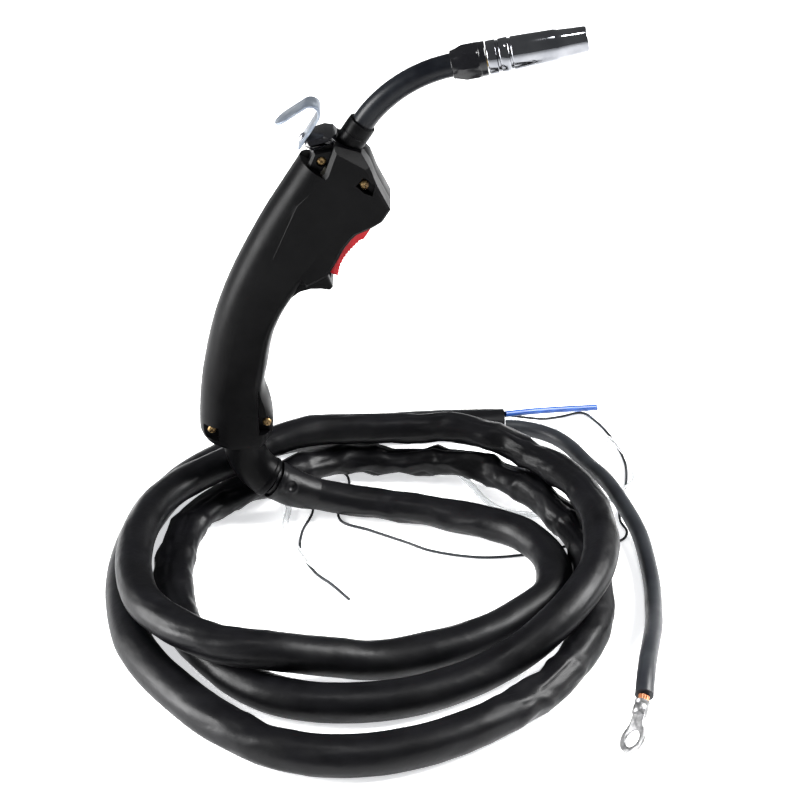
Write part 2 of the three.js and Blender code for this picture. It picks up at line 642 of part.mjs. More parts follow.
// ---- free cords ---------------------------------------------------------------------------------------
// The main jacket: out of the knuckle, three loose turns on the floor and over itself, and its cut end.
const JACKET_ROUTE = [
  [-82.5, 0, 30.6], [-68, 2, 21.5], [-50, 4, 15], [-20, 1, 11], [26, -10, 10.3], [56, -22, 10.8],
  [77, -36, 12.4], [91, -55, 11.2], [95, -77, 10.3], [90, -97, 10.3], [76, -114, 10.3], [54, -133, 10.3],
  [21, -151, 10.5], [-13, -162, 12], [-40, -169, 20], [-76, -177, 31], [-107, -170, 31.5],
  [-133, -152, 32], [-149, -133, 31.5], [-158, -107, 31], [-161, -80, 31.5], [-159, -55, 32],
  [-152, -28, 31.5], [-138, -6, 31], [-122, 9, 31], [-104, 23, 32], [-82, 39, 35], [-58, 49, 36.5],
  [-27, 55, 34.5], [2, 57, 33], [29, 55, 35], [50, 48, 36.2], [70, 39, 33.5], [88, 24, 32], [103, 6, 32],
  [115, -18, 33.5], [122, -44, 33], [123, -71, 31.5], [118, -98, 31], [107, -122, 30], [92, -142, 26],
  [72, -159, 18.5], [50, -172, 12], [25, -185, 10.3], [-3, -195, 10.3], [-39, -198, 10.3],
  [-68, -192, 10.3], [-88, -180, 10.3], [-107, -161, 10.3], [-126, -133, 10.3], [-136, -102, 10.3],
  [-140, -77, 10.3], [-138, -43, 10.3], [-131, -14, 10.3], [-115, 6, 10.3], [-90, 21, 13.5],
  [-64, 36, 15.8], [-40, 49, 14], [-12, 52, 11.5], [20, 50, 12.6], [44, 42, 16], [66, 30, 13.6],
  [83, 13, 15], [97, -8, 14.6], [109, -31, 12.4], [116, -60, 10.6], [119, -98, 10.3], [111, -138, 10.3],
  [94, -170, 10.3], [73, -195, 10.3], [52, -212, 10.3], [23, -229, 10.3], [-6, -239, 10.3],
  [-36, -242, 10.3], [-62, -237, 10.3], [-84, -226, 10.3], [-104, -211, 10.3], [-123, -191, 10.3],
  [-141, -169, 10.3], [-155, -145, 10.3], [-163, -120, 10.3], [-168, -92, 10.3], [-169, -60, 10.3],
  [-165, -29, 10.3], [-155, 4, 10.3], [-140, 34, 10.3], [-118, 58, 10.3], [-90, 75, 10.3],
  [-60, 85, 10.3], [-28, 91, 10.3], [6, 96, 10.3], [38, 99, 10.3], [72, 100, 10.3],
];
const JACKET_STEPS = 80;
const POWER_LEAD_ROUTE = [
  [73, 97.4, 8.7], [84, 96.7, 8.4], [97, 92, 8.2], [108, 83.5, 8.2], [116, 72, 8.4], [126, 50, 9],
  [135.5, 28, 11.2], [143, 5, 11], [152, -28, 8], [154.5, -56, 6], [154.5, -84, 6.2], [152.5, -108, 8],
  [150, -129, 12.5], [145.5, -152, 17.8], [141, -173, 21.2], [138.6, -186, 22.2], [137, -195, 21.7],
  [135.7, -203.2, 20.2],
];
const WIRE_LINER_ROUTE = [[73, 103.5, 15.6], [92, 111.5, 13], [112, 120, 9.4], [139, 130, 5]];
const SWITCH_LEAD_ROUTE = [
  [73, 106.4, 13.3], [88, 111.5, 8], [101, 117, 3.5], [114, 124, 1.2], [129, 129, 1.2], [138, 117, 1.2],
  [145, 101, 1.2], [150, 83, 1.2], [153, 63, 1.2], [152, 45, 1.2], [149, 28, 1.2], [144, 9, 1.2],
  [143, -6, 1.2], [146, -18, 1.2], [142, -27, 1.2], [128, -31, 1.2], [110, -33, 1.2], [92, -39, 1.2],
  [75, -44, 1.2], [50, -46, 1.2], [20, -39, 1.2], [3, -29, 1.2], [-20, -16, 1.2], [-38, -6, 1.2],
  [-40, 14, 1.2], [-34, 34, 1.2], [-37, 50, 1.2], [-48, 54, 1.2], [-58, 44, 1.2], [-60, 28, 1.2],
  [-57, 6, 1.2], [-63, -19, 1.2], [-63, -38, 1.2], [-53, -62, 1.2], [-42, -75, 1.2], [-31, -90, 1.2],
];
const GAS_TUBE_ROUTE = [
  [73, 106.2, 9.1], [86, 106.5, 6], [101, 107.5, 3], [127, 104, 2.4], [145, 89, 3.6], [151, 78, 4.6],
  [156, 65, 3.4], [158, 49, 3.2], [156, 36, 4], [150, 27, 4.7], [140, 18, 2.6], [120, 7, 2.4],
  [95, 0, 2.4], [70, 3, 2.4], [56, 17, 2.4], [46, 38, 2.4], [30, 62, 2.4], [5, 73, 2.4],
  [-30, 72, 2.4], [-55, 63, 2.4], [-70, 44, 2.4], [-74, 20, 2.4], [-73, 5, 2.4], [-74, -12, 2.4],
  [-70, -31, 3], [-60, -50, 4.6], [-45, -67, 3], [-30, -78, 2.4], [-15, -83, 2.4], [1, -81, 2.4],
];

function addCords() {
  addPiece("cable_jacket", rubber, swept(curveThrough(JACKET_ROUTE), JACKET_R, JACKET_STEPS, 10));
  addPiece("power_lead", rubber, swept(curveThrough(POWER_LEAD_ROUTE), LEAD_R, 16, 10));
  addPiece("wire_liner", blue, swept(curveThrough(WIRE_LINER_ROUTE), WIRE_LINER_R, 8, 8));
  addPiece("switch_lead", rubber, swept(curveThrough(SWITCH_LEAD_ROUTE), SWITCH_LEAD_R, 78, 8));
  addPiece("gas_tube", clear, swept(curveThrough(GAS_TUBE_ROUTE), GAS_TUBE_R, 76, 8));
  const linerEnd = new THREE.Vector3(...WIRE_LINER_ROUTE[3]);
  const linerAxis = new THREE.Vector3(0.928, 0.344, -0.145).normalize();
  const linerStart = linerEnd.clone().addScaledVector(linerAxis, GAP);
  addPiece("liner_end", steel, rod(1.4, linerStart, linerEnd.clone().addScaledVector(linerAxis, 4), 10));
}

// ---- lug on the power lead ----------------------------------------------------------------------------
const LUG_START = new THREE.Vector3(...POWER_LEAD_ROUTE[POWER_LEAD_ROUTE.length - 1]);
const LUG_AXIS = new THREE.Vector3(-0.3, -0.82, -0.47).normalize();
const LUG_ROLL = THREE.MathUtils.degToRad(38);
const LUG_BARREL_LENGTH = 12; // from the end of the lead
const LUG_REACH = 26.5; // from the end of the lead to the middle of the hole

function addLug() {
  const level = new THREE.Vector3().crossVectors(LUG_AXIS, new THREE.Vector3(0, 0, 1)).normalize();
  const across = level.clone().applyAxisAngle(LUG_AXIS, LUG_ROLL);
  const normal = new THREE.Vector3().crossVectors(LUG_AXIS, across).normalize();
  const frame = new THREE.Matrix4().makeBasis(LUG_AXIS, across, normal).setPosition(LUG_START);
  const outline = new THREE.Shape();
  outline.moveTo(LUG_BARREL_LENGTH - 3, -4.4);
  outline.lineTo(LUG_REACH - LUG_RING_R, -5.4);
  outline.absarc(LUG_REACH, 0, LUG_RING_R, -Math.PI * 0.72, Math.PI * 0.72, false);
  outline.lineTo(LUG_REACH - LUG_RING_R, 5.4);
  outline.lineTo(LUG_BARREL_LENGTH - 3, 4.4);
  const hole = new THREE.Path();
  hole.absarc(LUG_REACH, 0, LUG_HOLE_R, 0, 2 * Math.PI, true);
  outline.holes.push(hole);
  const tongue = new THREE.ExtrudeGeometry(outline, {
    depth: LUG_THICKNESS,
    bevelEnabled: false,
    curveSegments: 10,
  });
  tongue.translate(0, 0, -LUG_THICKNESS / 2);
  tongue.applyMatrix4(frame);
  const barrelEnd = LUG_START.clone().addScaledVector(LUG_AXIS, LUG_BARREL_LENGTH);
  const barrelStart = LUG_START.clone().addScaledVector(LUG_AXIS, 3.6);
  const barrel = rod(4.4, barrelStart, barrelEnd, 20);
  addPiece("ring_lug", steel, toSolid(tongue).add(barrel));
  const strandsStart = LUG_START.clone().addScaledVector(LUG_AXIS, 1.3);
  addPiece("lead_strands", copper, rod(3.4, strandsStart, barrelStart.addScaledVector(LUG_AXIS, -GAP), 16));
}

addCasing();
addCasingScrews();
addTrigger();
addSwitch();
addNeck();
addClampBlock();
addNozzleParts();
addCap();
addHook();
addKnuckle();
addCuff();
addHandleLeads();
addCords();
addLug();

export default torch;
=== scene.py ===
"""A MIG welding torch standing on its own loosely looped cable: the looks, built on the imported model.

Routes and outlines are in millimetres above the floor that the cable lies on, as in the part's source.
at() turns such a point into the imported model's frame, in metres.
"""

import math

import bmesh
import bpy
import numpy as np
from mathutils import Matrix, Vector, noise


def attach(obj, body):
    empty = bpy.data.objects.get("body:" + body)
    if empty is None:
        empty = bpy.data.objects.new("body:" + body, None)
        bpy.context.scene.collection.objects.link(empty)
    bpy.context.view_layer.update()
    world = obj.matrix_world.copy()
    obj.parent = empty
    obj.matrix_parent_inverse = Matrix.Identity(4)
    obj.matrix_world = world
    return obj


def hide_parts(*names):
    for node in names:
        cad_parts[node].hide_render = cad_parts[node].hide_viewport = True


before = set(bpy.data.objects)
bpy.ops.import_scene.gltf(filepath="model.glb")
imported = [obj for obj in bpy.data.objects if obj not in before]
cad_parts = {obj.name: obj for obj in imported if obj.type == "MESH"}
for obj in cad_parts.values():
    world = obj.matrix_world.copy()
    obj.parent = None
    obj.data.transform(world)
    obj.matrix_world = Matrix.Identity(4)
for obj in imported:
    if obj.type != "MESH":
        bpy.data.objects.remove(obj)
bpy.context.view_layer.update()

MM = 0.001
TORCH_CENTRE = Vector((-9.6, 0, 177.1))
UP = Vector((0, 0, 1))


def at(x, y, z):
    return (Vector((x, y, z)) - TORCH_CENTRE) * MM


def new_object(name, data):
    made = bpy.data.objects.new(name, data)
    bpy.context.collection.objects.link(made)
    return made


# ---- camera ---------------------------------------------------------------------------------------------
CAMERA_TARGET = at(0, 0, 89.27)
CAMERA_DISTANCE = 1.2
CAMERA_ELEVATION = math.radians(31)
CAMERA_LENS = 86.02


def add_camera():
    data = bpy.data.cameras.new("camera")
    data.lens = CAMERA_LENS
    camera = new_object("camera", data)
    away = Vector((0, -math.cos(CAMERA_ELEVATION), math.sin(CAMERA_ELEVATION)))
    camera.location = CAMERA_TARGET + away * CAMERA_DISTANCE
    camera.rotation_euler = (math.pi / 2 - CAMERA_ELEVATION, 0, 0)
    bpy.context.scene.camera = camera


# ---- materials ------------------------------------------------------------------------------------------
def new_material(name, color, roughness, metallic=0.0):
    material = bpy.data.materials.new(name)
    material.use_nodes = True
    shader = material.node_tree.nodes["Principled BSDF"]
    shader.inputs["Base Color"].default_value = (*color, 1)
    shader.inputs["Roughness"].default_value = roughness
    shader.inputs["Metallic"].default_value = metallic
    return material


def shader_of(material):
    return material.node_tree.nodes["Principled BSDF"]


def noise_node(material, scale, detail):
    """Noise laid through the object's own space."""
    nodes = material.node_tree.nodes
    place = nodes.new("ShaderNodeTexCoord")
    texture = nodes.new("ShaderNodeTexNoise")
    texture.inputs["Scale"].default_value = scale
    texture.inputs["Detail"].default_value = detail
    material.node_tree.links.new(place.outputs["Object"], texture.inputs["Vector"])
    return texture


def vary_color(material, scale, dark, light, detail=3.0):
    texture = noise_node(material, scale, detail)
    ramp = material.node_tree.nodes.new("ShaderNodeValToRGB")
    ramp.color_ramp.elements[0].position = 0.35
    ramp.color_ramp.elements[0].color = (*dark, 1)
    ramp.color_ramp.elements[1].position = 0.65
    ramp.color_ramp.elements[1].color = (*light, 1)
    links = material.node_tree.links
    links.new(texture.outputs["Fac"], ramp.inputs["Fac"])
    links.new(ramp.outputs["Color"], shader_of(material).inputs["Base Color"])


def vary_roughness(material, scale, low, high, detail=3.0):
    texture = noise_node(material, scale, detail)
    spread = material.node_tree.nodes.new("ShaderNodeMapRange")
    spread.inputs["From Min"].default_value = 0.3
    spread.inputs["From Max"].default_value = 0.7
    spread.inputs["To Min"].default_value = low
    spread.inputs["To Max"].default_value = high
    links = material.node_tree.links
    links.new(texture.outputs["Fac"], spread.inputs["Value"])
    links.new(spread.outputs["Result"], shader_of(material).inputs["Roughness"])


def add_bump(material, layers):
    """layers are (scale, strength, depth in metres), from the broadest to the finest."""
    links = material.node_tree.links
    below = None
    for scale, strength, depth in layers:
        texture = noise_node(material, scale, 3.0)
        bump = material.node_tree.nodes.new("ShaderNodeBump")
        bump.inputs["Strength"].default_value = strength
        bump.inputs["Distance"].default_value = depth
        links.new(texture.outputs["Fac"], bump.inputs["Height"])
        if below:
            links.new(below.outputs["Normal"], bump.inputs["Normal"])
        below = bump
    links.new(below.outputs["Normal"], shader_of(material).inputs["Normal"])


def dull(material, specular):
    """Lowers how much a dark plastic mirrors the white table."""
    shader_of(material).inputs["Specular IOR Level"].default_value = specular


def moulded_black():
    material = new_material("moulded_black", (0.0012, 0.0012, 0.0014), 0.36)
    vary_color(material, 60, (0.0008, 0.0008, 0.001), (0.0018, 0.0018, 0.002))
    vary_roughness(material, 90, 0.32, 0.4)
    add_bump(material, [(160, 0.12, 0.0002), (2600, 0.25, 0.00004)])
    dull(material, 0.05)
    return material


def gloss_black():
    material = new_material("gloss_black", (0.004, 0.004, 0.005), 0.16)
    vary_roughness(material, 120, 0.12, 0.24)
    add_bump(material, [(90, 0.12, 0.0002)])
    dull(material, 0.35)
    return material


def jacket_skin():
    material = new_material("jacket_skin", (0.0018, 0.0018, 0.0022), 0.36)
    vary_color(material, 45, (0.001, 0.001, 0.0014), (0.0028, 0.0028, 0.0036))
    vary_roughness(material, 60, 0.34, 0.46)
    add_bump(material, [(110, 0.35, 0.0008), (420, 0.25, 0.0002), (2200, 0.25, 0.00005)])
    dull(material, 0.16)
    return material


def lead_skin():
    material = new_material("lead_skin", (0.012, 0.013, 0.016), 0.4)
    vary_color(material, 50, (0.009, 0.010, 0.013), (0.016, 0.018, 0.021))
    vary_roughness(material, 80, 0.36, 0.48)
    add_bump(material, [(260, 0.15, 0.0002), (1800, 0.2, 0.00004)])
    dull(material, 0.3)
    return material


def neck_skin():
    material = new_material("neck_skin", (0.004, 0.0045, 0.006), 0.3)
    vary_color(material, 70, (0.0025, 0.003, 0.0045), (0.006, 0.007, 0.009))
    vary_roughness(material, 90, 0.28, 0.38)
    add_bump(material, [(150, 0.12, 0.0002), (1600, 0.2, 0.00004)])
    dull(material, 0.15)
    return material


def old_screw():
    """Brass gone brown, darker in patches scattered at random."""
    material = new_material("old_screw", (0.2, 0.13, 0.05), 0.4, 0.85)
    vary_color(material, 500, (0.05, 0.03, 0.015), (0.34, 0.23, 0.1), 5.0)
    vary_roughness(material, 600, 0.32, 0.55)
    add_bump(material, [(1500, 0.3, 0.00008)])
    return material


def red_plastic():
    material = new_material("red_plastic", (0.34, 0.002, 0.007), 0.34)
    vary_color(material, 120, (0.29, 0.001, 0.004), (0.39, 0.004, 0.010))
    vary_roughness(material, 200, 0.3, 0.42)
    dull(material, 0.2)
    add_bump(material, [(2200, 0.25, 0.00004)])
    shader_of(material).inputs["Subsurface Weight"].default_value = 0.06
    shader_of(material).inputs["Subsurface Scale"].default_value = 0.001
    return material


def dark_chrome():
    material = new_material("dark_chrome", (0.2, 0.205, 0.22), 0.08, 1.0)
    vary_color(material, 80, (0.17, 0.175, 0.19), (0.24, 0.245, 0.26))
    vary_roughness(material, 150, 0.04, 0.12)
    add_bump(material, [(60, 0.06, 0.0003), (900, 0.05, 0.00003)])
    return material


def zinc_plate():
    material = new_material("zinc_plate", (0.2, 0.23, 0.28), 0.36, 0.75)
    vary_color(material, 130, (0.14, 0.165, 0.21), (0.26, 0.29, 0.33), 5.0)
    vary_roughness(material, 240, 0.28, 0.46, 5.0)
    add_bump(material, [(300, 0.15, 0.0002), (2400, 0.2, 0.00003)])
    return material


def metal(name, dark, light, low, high):
    material = new_material(name, light, low, 1.0)
    vary_color(material, 400, dark, light)
    vary_roughness(material, 700, low, high)
    add_bump(material, [(1800, 0.2, 0.00004)])
    return material


def blue_plastic():
    material = new_material("blue_plastic", (0.008, 0.06, 0.46), 0.36)
    vary_color(material, 150, (0.003, 0.04, 0.2), (0.006, 0.065, 0.3))
    vary_roughness(material, 300, 0.3, 0.44)
    add_bump(material, [(900, 0.15, 0.00005)])
    return material


def clear_plastic():
    material = new_material("clear_plastic", (0.95, 0.96, 0.965), 0.16)
    vary_roughness(material, 60, 0.12, 0.24)
    add_bump(material, [(60, 0.1, 0.0002)])
    shader_of(material).inputs["Transmission Weight"].default_value = 0.85
    shader_of(material).inputs["IOR"].default_value = 1.18
    return material


def natural_nylon():
    material = new_material("natural_nylon", (0.62, 0.58, 0.48), 0.5)
    vary_color(material, 150, (0.56, 0.52, 0.42), (0.68, 0.64, 0.54))
    add_bump(material, [(1200, 0.2, 0.00004)])
    return material


MATERIALS = {
    "moulded": moulded_black(),
    "gloss": gloss_black(),
    "jacket": jacket_skin(),
    "lead": lead_skin(),
    "neck": neck_skin(),
    "red": red_plastic(),
    "chrome": dark_chrome(),
    "zinc": zinc_plate(),
    "blue": blue_plastic(),
    "clear": clear_plastic(),
    "nylon": natural_nylon(),
    "screw": old_screw(),
    "tinned": metal("tinned_copper", (0.16, 0.16, 0.165), (0.3, 0.3, 0.3), 0.34, 0.52),
    "brass": metal("turned_brass", (0.42, 0.27, 0.08), (0.62, 0.44, 0.18), 0.25, 0.4),
    "copper": metal("bright_copper", (0.5, 0.2, 0.1), (0.75, 0.36, 0.2), 0.25, 0.42),
    "steel": metal("plain_steel", (0.38, 0.38, 0.4), (0.56, 0.56, 0.58), 0.25, 0.42),
}


# ---- mesh helpers ---------------------------------------------------------------------------------------
def new_piece(name, vertices, faces, material, body, smooth_angle=35):
    """A mesh piece from points in millimetres above the floor, which rides on a body."""
    mesh = bpy.data.meshes.new(name)
    mesh.from_pydata([at(*v) for v in vertices], [], faces)
    mesh.validate()
    return finish_piece(name, mesh, material, body, smooth_angle)


def face_outwards(mesh):
    bm = bmesh.new()
    bm.from_mesh(mesh)
    bmesh.ops.recalc_face_normals(bm, faces=bm.faces)
    bm.to_mesh(mesh)
    bm.free()


def finish_piece(name, mesh, material, body, smooth_angle=35):
    face_outwards(mesh)
    mesh.shade_smooth()
    mesh.set_sharp_from_angle(angle=math.radians(smooth_angle))
    mesh.materials.clear()
    mesh.materials.append(MATERIALS[material])
    piece = new_object(name, mesh)
    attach(piece, body)
    return piece


def loft_faces(rings, count, closed_loop=False):
    """Quads between rings of count points each, with a cap at each end unless the rings form a loop."""
    faces = []
    for r in range(rings if closed_loop else rings - 1):
        here = r * count
        there = ((r + 1) % rings) * count
        for k in range(count):
            n = (k + 1) % count
            faces.append((here + k, here + n, there + n, there + k))
    if not closed_loop:
        faces.append(tuple(range(count))[::-1])
        faces.append(tuple((rings - 1) * count + k for k in range(count)))
    return faces


def rays_round(axis, count):
    """Unit vectors square to an axis, spread evenly round it."""
    side = axis.orthogonal().normalized()
    return rays_between(side, axis.cross(side), count)


def rays_between(side, other, count):
    angles = [2 * math.pi * k / count for k in range(count)]
    return [side * math.cos(angle) + other * math.sin(angle) for angle in angles]


def turned_rings(profile, base, axis, sides):
    """The points of a profile of (radius, distance) turned about the line from base along axis."""
    rays = rays_round(axis, sides)
    return [base + axis * distance + ray * radius for radius, distance in profile for ray in rays]


def runs_along(line):
    """How far along a line each of its points lies."""
    runs = [0.0]
    for before, after in zip(line, line[1:]):
        runs.append(runs[-1] + (after - before).length)
    return runs


def turned(name, profile, base, axis, material, body, sides=64, smooth_angle=30):
    """A ring-shaped piece, from a closed profile that stays off the axis."""
    vertices = turned_rings(profile, base, axis.normalized(), sides)
    faces = loft_faces(len(profile), sides, closed_loop=True)
    return new_piece(name, vertices, faces, material, body, smooth_angle)


def catmull(points, spacing):
    """Points at even distances on a centripetal Catmull-Rom curve through the given ones."""
    p = [Vector(q) for q in points]
    p = [p[0] * 2 - p[1]] + p + [p[-1] * 2 - p[-2]]
    fine = []
    for i in range(1, len(p) - 2):
        t = [0.0]
        for a, b in zip(p[i - 1 : i + 2], p[i : i + 3]):
            t.append(t[-1] + max((b - a).length, 1e-6) ** 0.5)
        for k in range(16):
            u = t[1] + (t[2] - t[1]) * k / 16
            a1 = p[i - 1].lerp(p[i], (u - t[0]) / (t[1] - t[0]))
            a2 = p[i].lerp(p[i + 1], (u - t[1]) / (t[2] - t[1]))
            a3 = p[i + 1].lerp(p[i + 2], (u - t[2]) / (t[3] - t[2]))
            b1 = a1.lerp(a2, (u - t[0]) / (t[2] - t[0]))
            b2 = a2.lerp(a3, (u - t[1]) / (t[3] - t[1]))
            fine.append(b1.lerp(b2, (u - t[1]) / (t[2] - t[1])))
    fine.append(p[-2])
    line = np.array(fine)
    run = np.concatenate([[0], np.cumsum(np.linalg.norm(np.diff(line, axis=0), axis=1))])
    steps = max(2, round(run[-1] / spacing))
    wanted = np.linspace(0, run[-1], steps + 1)
    return [Vector([np.interp(w, run, line[:, k]) for k in range(3)]) for w in wanted]


def carried_frames(line):
    """(tangent, side, other) at each point of a line, turned along with it and never twisted."""
    tangents = []
    for k in range(len(line)):
        ahead = line[min(k + 1, len(line) - 1)]
        behind = line[max(k - 1, 0)]
        tangents.append((ahead - behind).normalized())
    side = tangents[0].cross(UP)
    if side.length < 0.1:
        side = tangents[0].cross(Vector((0, 1, 0)))
    side.normalize()
    frames = []
    for tangent in tangents:
        side = (side - tangent * side.dot(tangent)).normalized()
        frames.append((tangent, side, tangent.cross(side)))
    return frames


def tube(name, line, radius, material, body, slot, sides=24, bore=0.0, shape=None):
    """A tube along a line. shape(distance, angle) scales its radius. A bore leaves it hollow."""
    frames = carried_frames(line)
    outer = []
    for point, run, (_, side, other) in zip(line, runs_along(line), frames):
        for j, ray in enumerate(rays_between(side, other, sides)):
            scale = shape(run, 2 * math.pi * j / sides) if shape else 1.0
            outer.append(point + ray * radius * scale)
    rings = len(line)
    if not bore:
        return new_piece(name, outer, loft_faces(rings, sides), material, body, 50)
    inner = []
    for point, (_, side, other) in zip(reversed(line), reversed(frames)):
        inner += [point + ray * bore for ray in rays_between(side, other, sides)]
    faces = loft_faces(2 * rings, sides, closed_loop=True)
    return new_piece(name, outer + inner, faces, material, body, 50)


# ---- cords ----------------------------------------------------------------------------------------------
JACKET_ROUTE = [
    (-82.5, 0, 30.6), (-68, 2, 21.5), (-50, 4, 15), (-20, 1, 11), (26, -10, 10.3), (56, -22, 10.8),
    (77, -36, 12.4), (91, -55, 11.2), (95, -77, 10.3), (90, -97, 10.3), (76, -114, 10.3), (54, -133, 10.3),
    (21, -151, 10.5), (-13, -162, 12), (-40, -169, 20), (-76, -177, 31), (-107, -170, 31.5),
    (-133, -152, 32), (-149, -133, 31.5), (-158, -107, 31), (-161, -80, 31.5), (-159, -55, 32),
    (-152, -28, 31.5), (-138, -6, 31), (-122, 9, 31), (-104, 23, 32), (-82, 39, 35), (-58, 49, 36.5),
    (-27, 55, 34.5), (2, 57, 33), (29, 55, 35), (50, 48, 36.2), (70, 39, 33.5), (88, 24, 32), (103, 6, 32),
    (115, -18, 33.5), (122, -44, 33), (123, -71, 31.5), (118, -98, 31), (107, -122, 30), (92, -142, 26),
    (72, -159, 18.5), (50, -172, 12), (25, -185, 10.3), (-3, -195, 10.3), (-39, -198, 10.3),
    (-68, -192, 10.3), (-88, -180, 10.3), (-107, -161, 10.3), (-126, -133, 10.3), (-136, -102, 10.3),
    (-140, -77, 10.3), (-138, -43, 10.3), (-131, -14, 10.3), (-115, 6, 10.3), (-90, 21, 13.5),
    (-64, 36, 15.8), (-40, 49, 14), (-12, 52, 11.5), (20, 50, 12.6), (44, 42, 16), (66, 30, 13.6),
    (83, 13, 15), (97, -8, 14.6), (109, -31, 12.4), (116, -60, 10.6), (119, -98, 10.3), (111, -138, 10.3),
    (94, -170, 10.3), (73, -195, 10.3), (52, -212, 10.3), (23, -229, 10.3), (-6, -239, 10.3),
    (-36, -242, 10.3), (-62, -237, 10.3), (-84, -226, 10.3), (-104, -211, 10.3), (-123, -191, 10.3),
    (-141, -169, 10.3), (-155, -145, 10.3), (-163, -120, 10.3), (-168, -92, 10.3), (-169, -60, 10.3),
    (-165, -29, 10.3), (-155, 4, 10.3), (-140, 34, 10.3), (-118, 58, 10.3), (-90, 75, 10.3),
    (-60, 85, 10.3), (-28, 91, 10.3), (6, 96, 10.3), (38, 99, 10.3), (72, 100, 10.3),
]
POWER_LEAD_ROUTE = [
    (73, 97.4, 8.7), (84, 96.7, 8.4), (97, 92, 8.2), (108, 83.5, 8.2), (116, 72, 8.4), (126, 50, 9),
    (135.5, 28, 11.2), (143, 5, 11), (152, -28, 8), (154.5, -56, 6), (154.5, -84, 6.2), (152.5, -108, 8),
    (150, -129, 12.5), (145.5, -152, 17.8), (141, -173, 21.2), (138.6, -186, 22.2), (137, -195, 21.7),
    (135.7, -203.2, 20.2),
]
WIRE_LINER_ROUTE = [(73, 103.5, 15.6), (92, 111.5, 13), (112, 120, 9.4), (139, 130, 5)]
SWITCH_LEAD_ROUTE = [
    (73, 106.4, 13.3), (88, 111.5, 8), (101, 117, 3.5), (114, 124, 1.2), (129, 129, 1.2), (138, 117, 1.2),
    (145, 101, 1.2), (150, 83, 1.2), (153, 63, 1.2), (152, 45, 1.2), (149, 28, 1.2), (144, 9, 1.2),
    (143, -6, 1.2), (146, -18, 1.2), (142, -27, 1.2), (128, -31, 1.2), (110, -33, 1.2), (92, -39, 1.2),
    (75, -44, 1.2), (50, -46, 1.2), (20, -39, 1.2), (3, -29, 1.2), (-20, -16, 1.2), (-38, -6, 1.2),
    (-40, 14, 1.2), (-34, 34, 1.2), (-37, 50, 1.2), (-48, 54, 1.2), (-58, 44, 1.2), (-60, 28, 1.2),
    (-57, 6, 1.2), (-63, -19, 1.2), (-63, -38, 1.2), (-53, -62, 1.2), (-42, -75, 1.2), (-31, -90, 1.2),
]
GAS_TUBE_ROUTE = [
    (73, 106.2, 9.1), (86, 106.5, 6), (101, 107.5, 3), (127, 104, 2.4), (145, 89, 3.6), (151, 78, 4.6),
    (156, 65, 3.4), (158, 49, 3.2), (156, 36, 4), (150, 27, 4.7), (140, 18, 2.6), (120, 7, 2.4),
    (95, 0, 2.4), (70, 3, 2.4), (56, 17, 2.4), (46, 38, 2.4), (30, 62, 2.4), (5, 73, 2.4),
    (-30, 72, 2.4), (-55, 63, 2.4), (-70, 44, 2.4), (-74, 20, 2.4), (-73, 5, 2.4), (-74, -12, 2.4),
    (-70, -31, 3), (-60, -50, 4.6), (-45, -67, 3), (-30, -78, 2.4), (-15, -83, 2.4), (1, -81, 2.4),
]
JACKET_DIAMETER = 20
LEAD_DIAMETER = 10.6
LINER_DIAMETER = 4.4
SWITCH_LEAD_DIAMETER = 1.8
GAS_TUBE_DIAMETER = 4.2


# Along the cover's run, as (distance in mm, value): how loose it is from 0 to 1, how much wider than its
# tight size it lies, and how much flatter it lies than it is wide.
JACKET_SLACK = [
    (0, 0.0), (34, 0.1), (70, 0.5), (110, 0.6), (150, 0.4), (200, 0.45), (240, 0.25), (330, 0.15), (400, 0.2),
    (470, 0.5), (530, 0.25), (640, 0.2), (700, 0.3), (780, 0.4), (850, 0.6), (900, 0.9), (940, 0.6),
    (1000, 0.4), (1060, 0.25), (1120, 0.15), (1290, 0.2), (1360, 0.55), (1480, 0.75), (1560, 0.8),
    (1610, 1.0), (1780, 1.0), (1830, 0.6), (1880, 0.4), (1910, 0.5), (1930, 0.95), (1950, 0.8), (1980, 0.35),
    (2020, 0.2), (2070, 0.2), (2120, 0.55), (2170, 0.2), (2310, 0.15), (2410, 0.2), (2500, 0.2),
    (2653, 0.1),
]
JACKET_SPREAD = [
    (0, 0.0), (60, 0.06), (280, 0.1), (330, 0.18), (440, 0.14), (520, 0.07), (1140, 0.07), (1190, 0.14),
    (1290, 0.12), (1360, 0.1), (1520, 0.1), (1600, 0.08), (1960, 0.08), (2030, 0.17), (2160, 0.16),
    (2260, 0.08), (2653, 0.05),
]
JACKET_FLATNESS = [
    (0, 0.0), (60, 0.05), (1340, 0.05), (1410, 0.2), (1500, 0.2), (1570, 0.06), (2653, 0.05),
]
FLOOR_CLEARANCE = 0.35
THINNEST = 0.74
WIDEST = 1.42
BUCKLE_DEPTH = 0.42
DENT_DEPTH = 0.16
CREASE_DEPTH = 0.08
FINE_CREASE_DEPTH = 0.03


def along_run(table, run):
    """The value at a distance along the cover, from a table of (distance, value)."""
    return float(np.interp(run, [distance for distance, _ in table], [value for _, value in table]))


def facets(run, angle, pitch, spread, seed):
    """Flat-sided buckles in a loose cover: 0 on the ridges between them, up to about 1 in their middles."""
    place = Vector((math.cos(angle) * spread, math.sin(angle) * spread, run / pitch + seed))
    near = noise.voronoi(place)[0]
    return min(1.0, 1.5 * (near[1] - near[0]))


def ripple(run, angle, pitch, slant, seed):
    """A crease that runs along the cover and slants round it: 1 in its bottom, 0 away from it."""
    turn = angle + slant * run
    place = Vector((math.cos(turn) * 1.1, math.sin(turn) * 1.1, run / pitch + seed))
    return max(0.0, 1 - 3.4 * abs(noise.noise(place))) ** 1.5


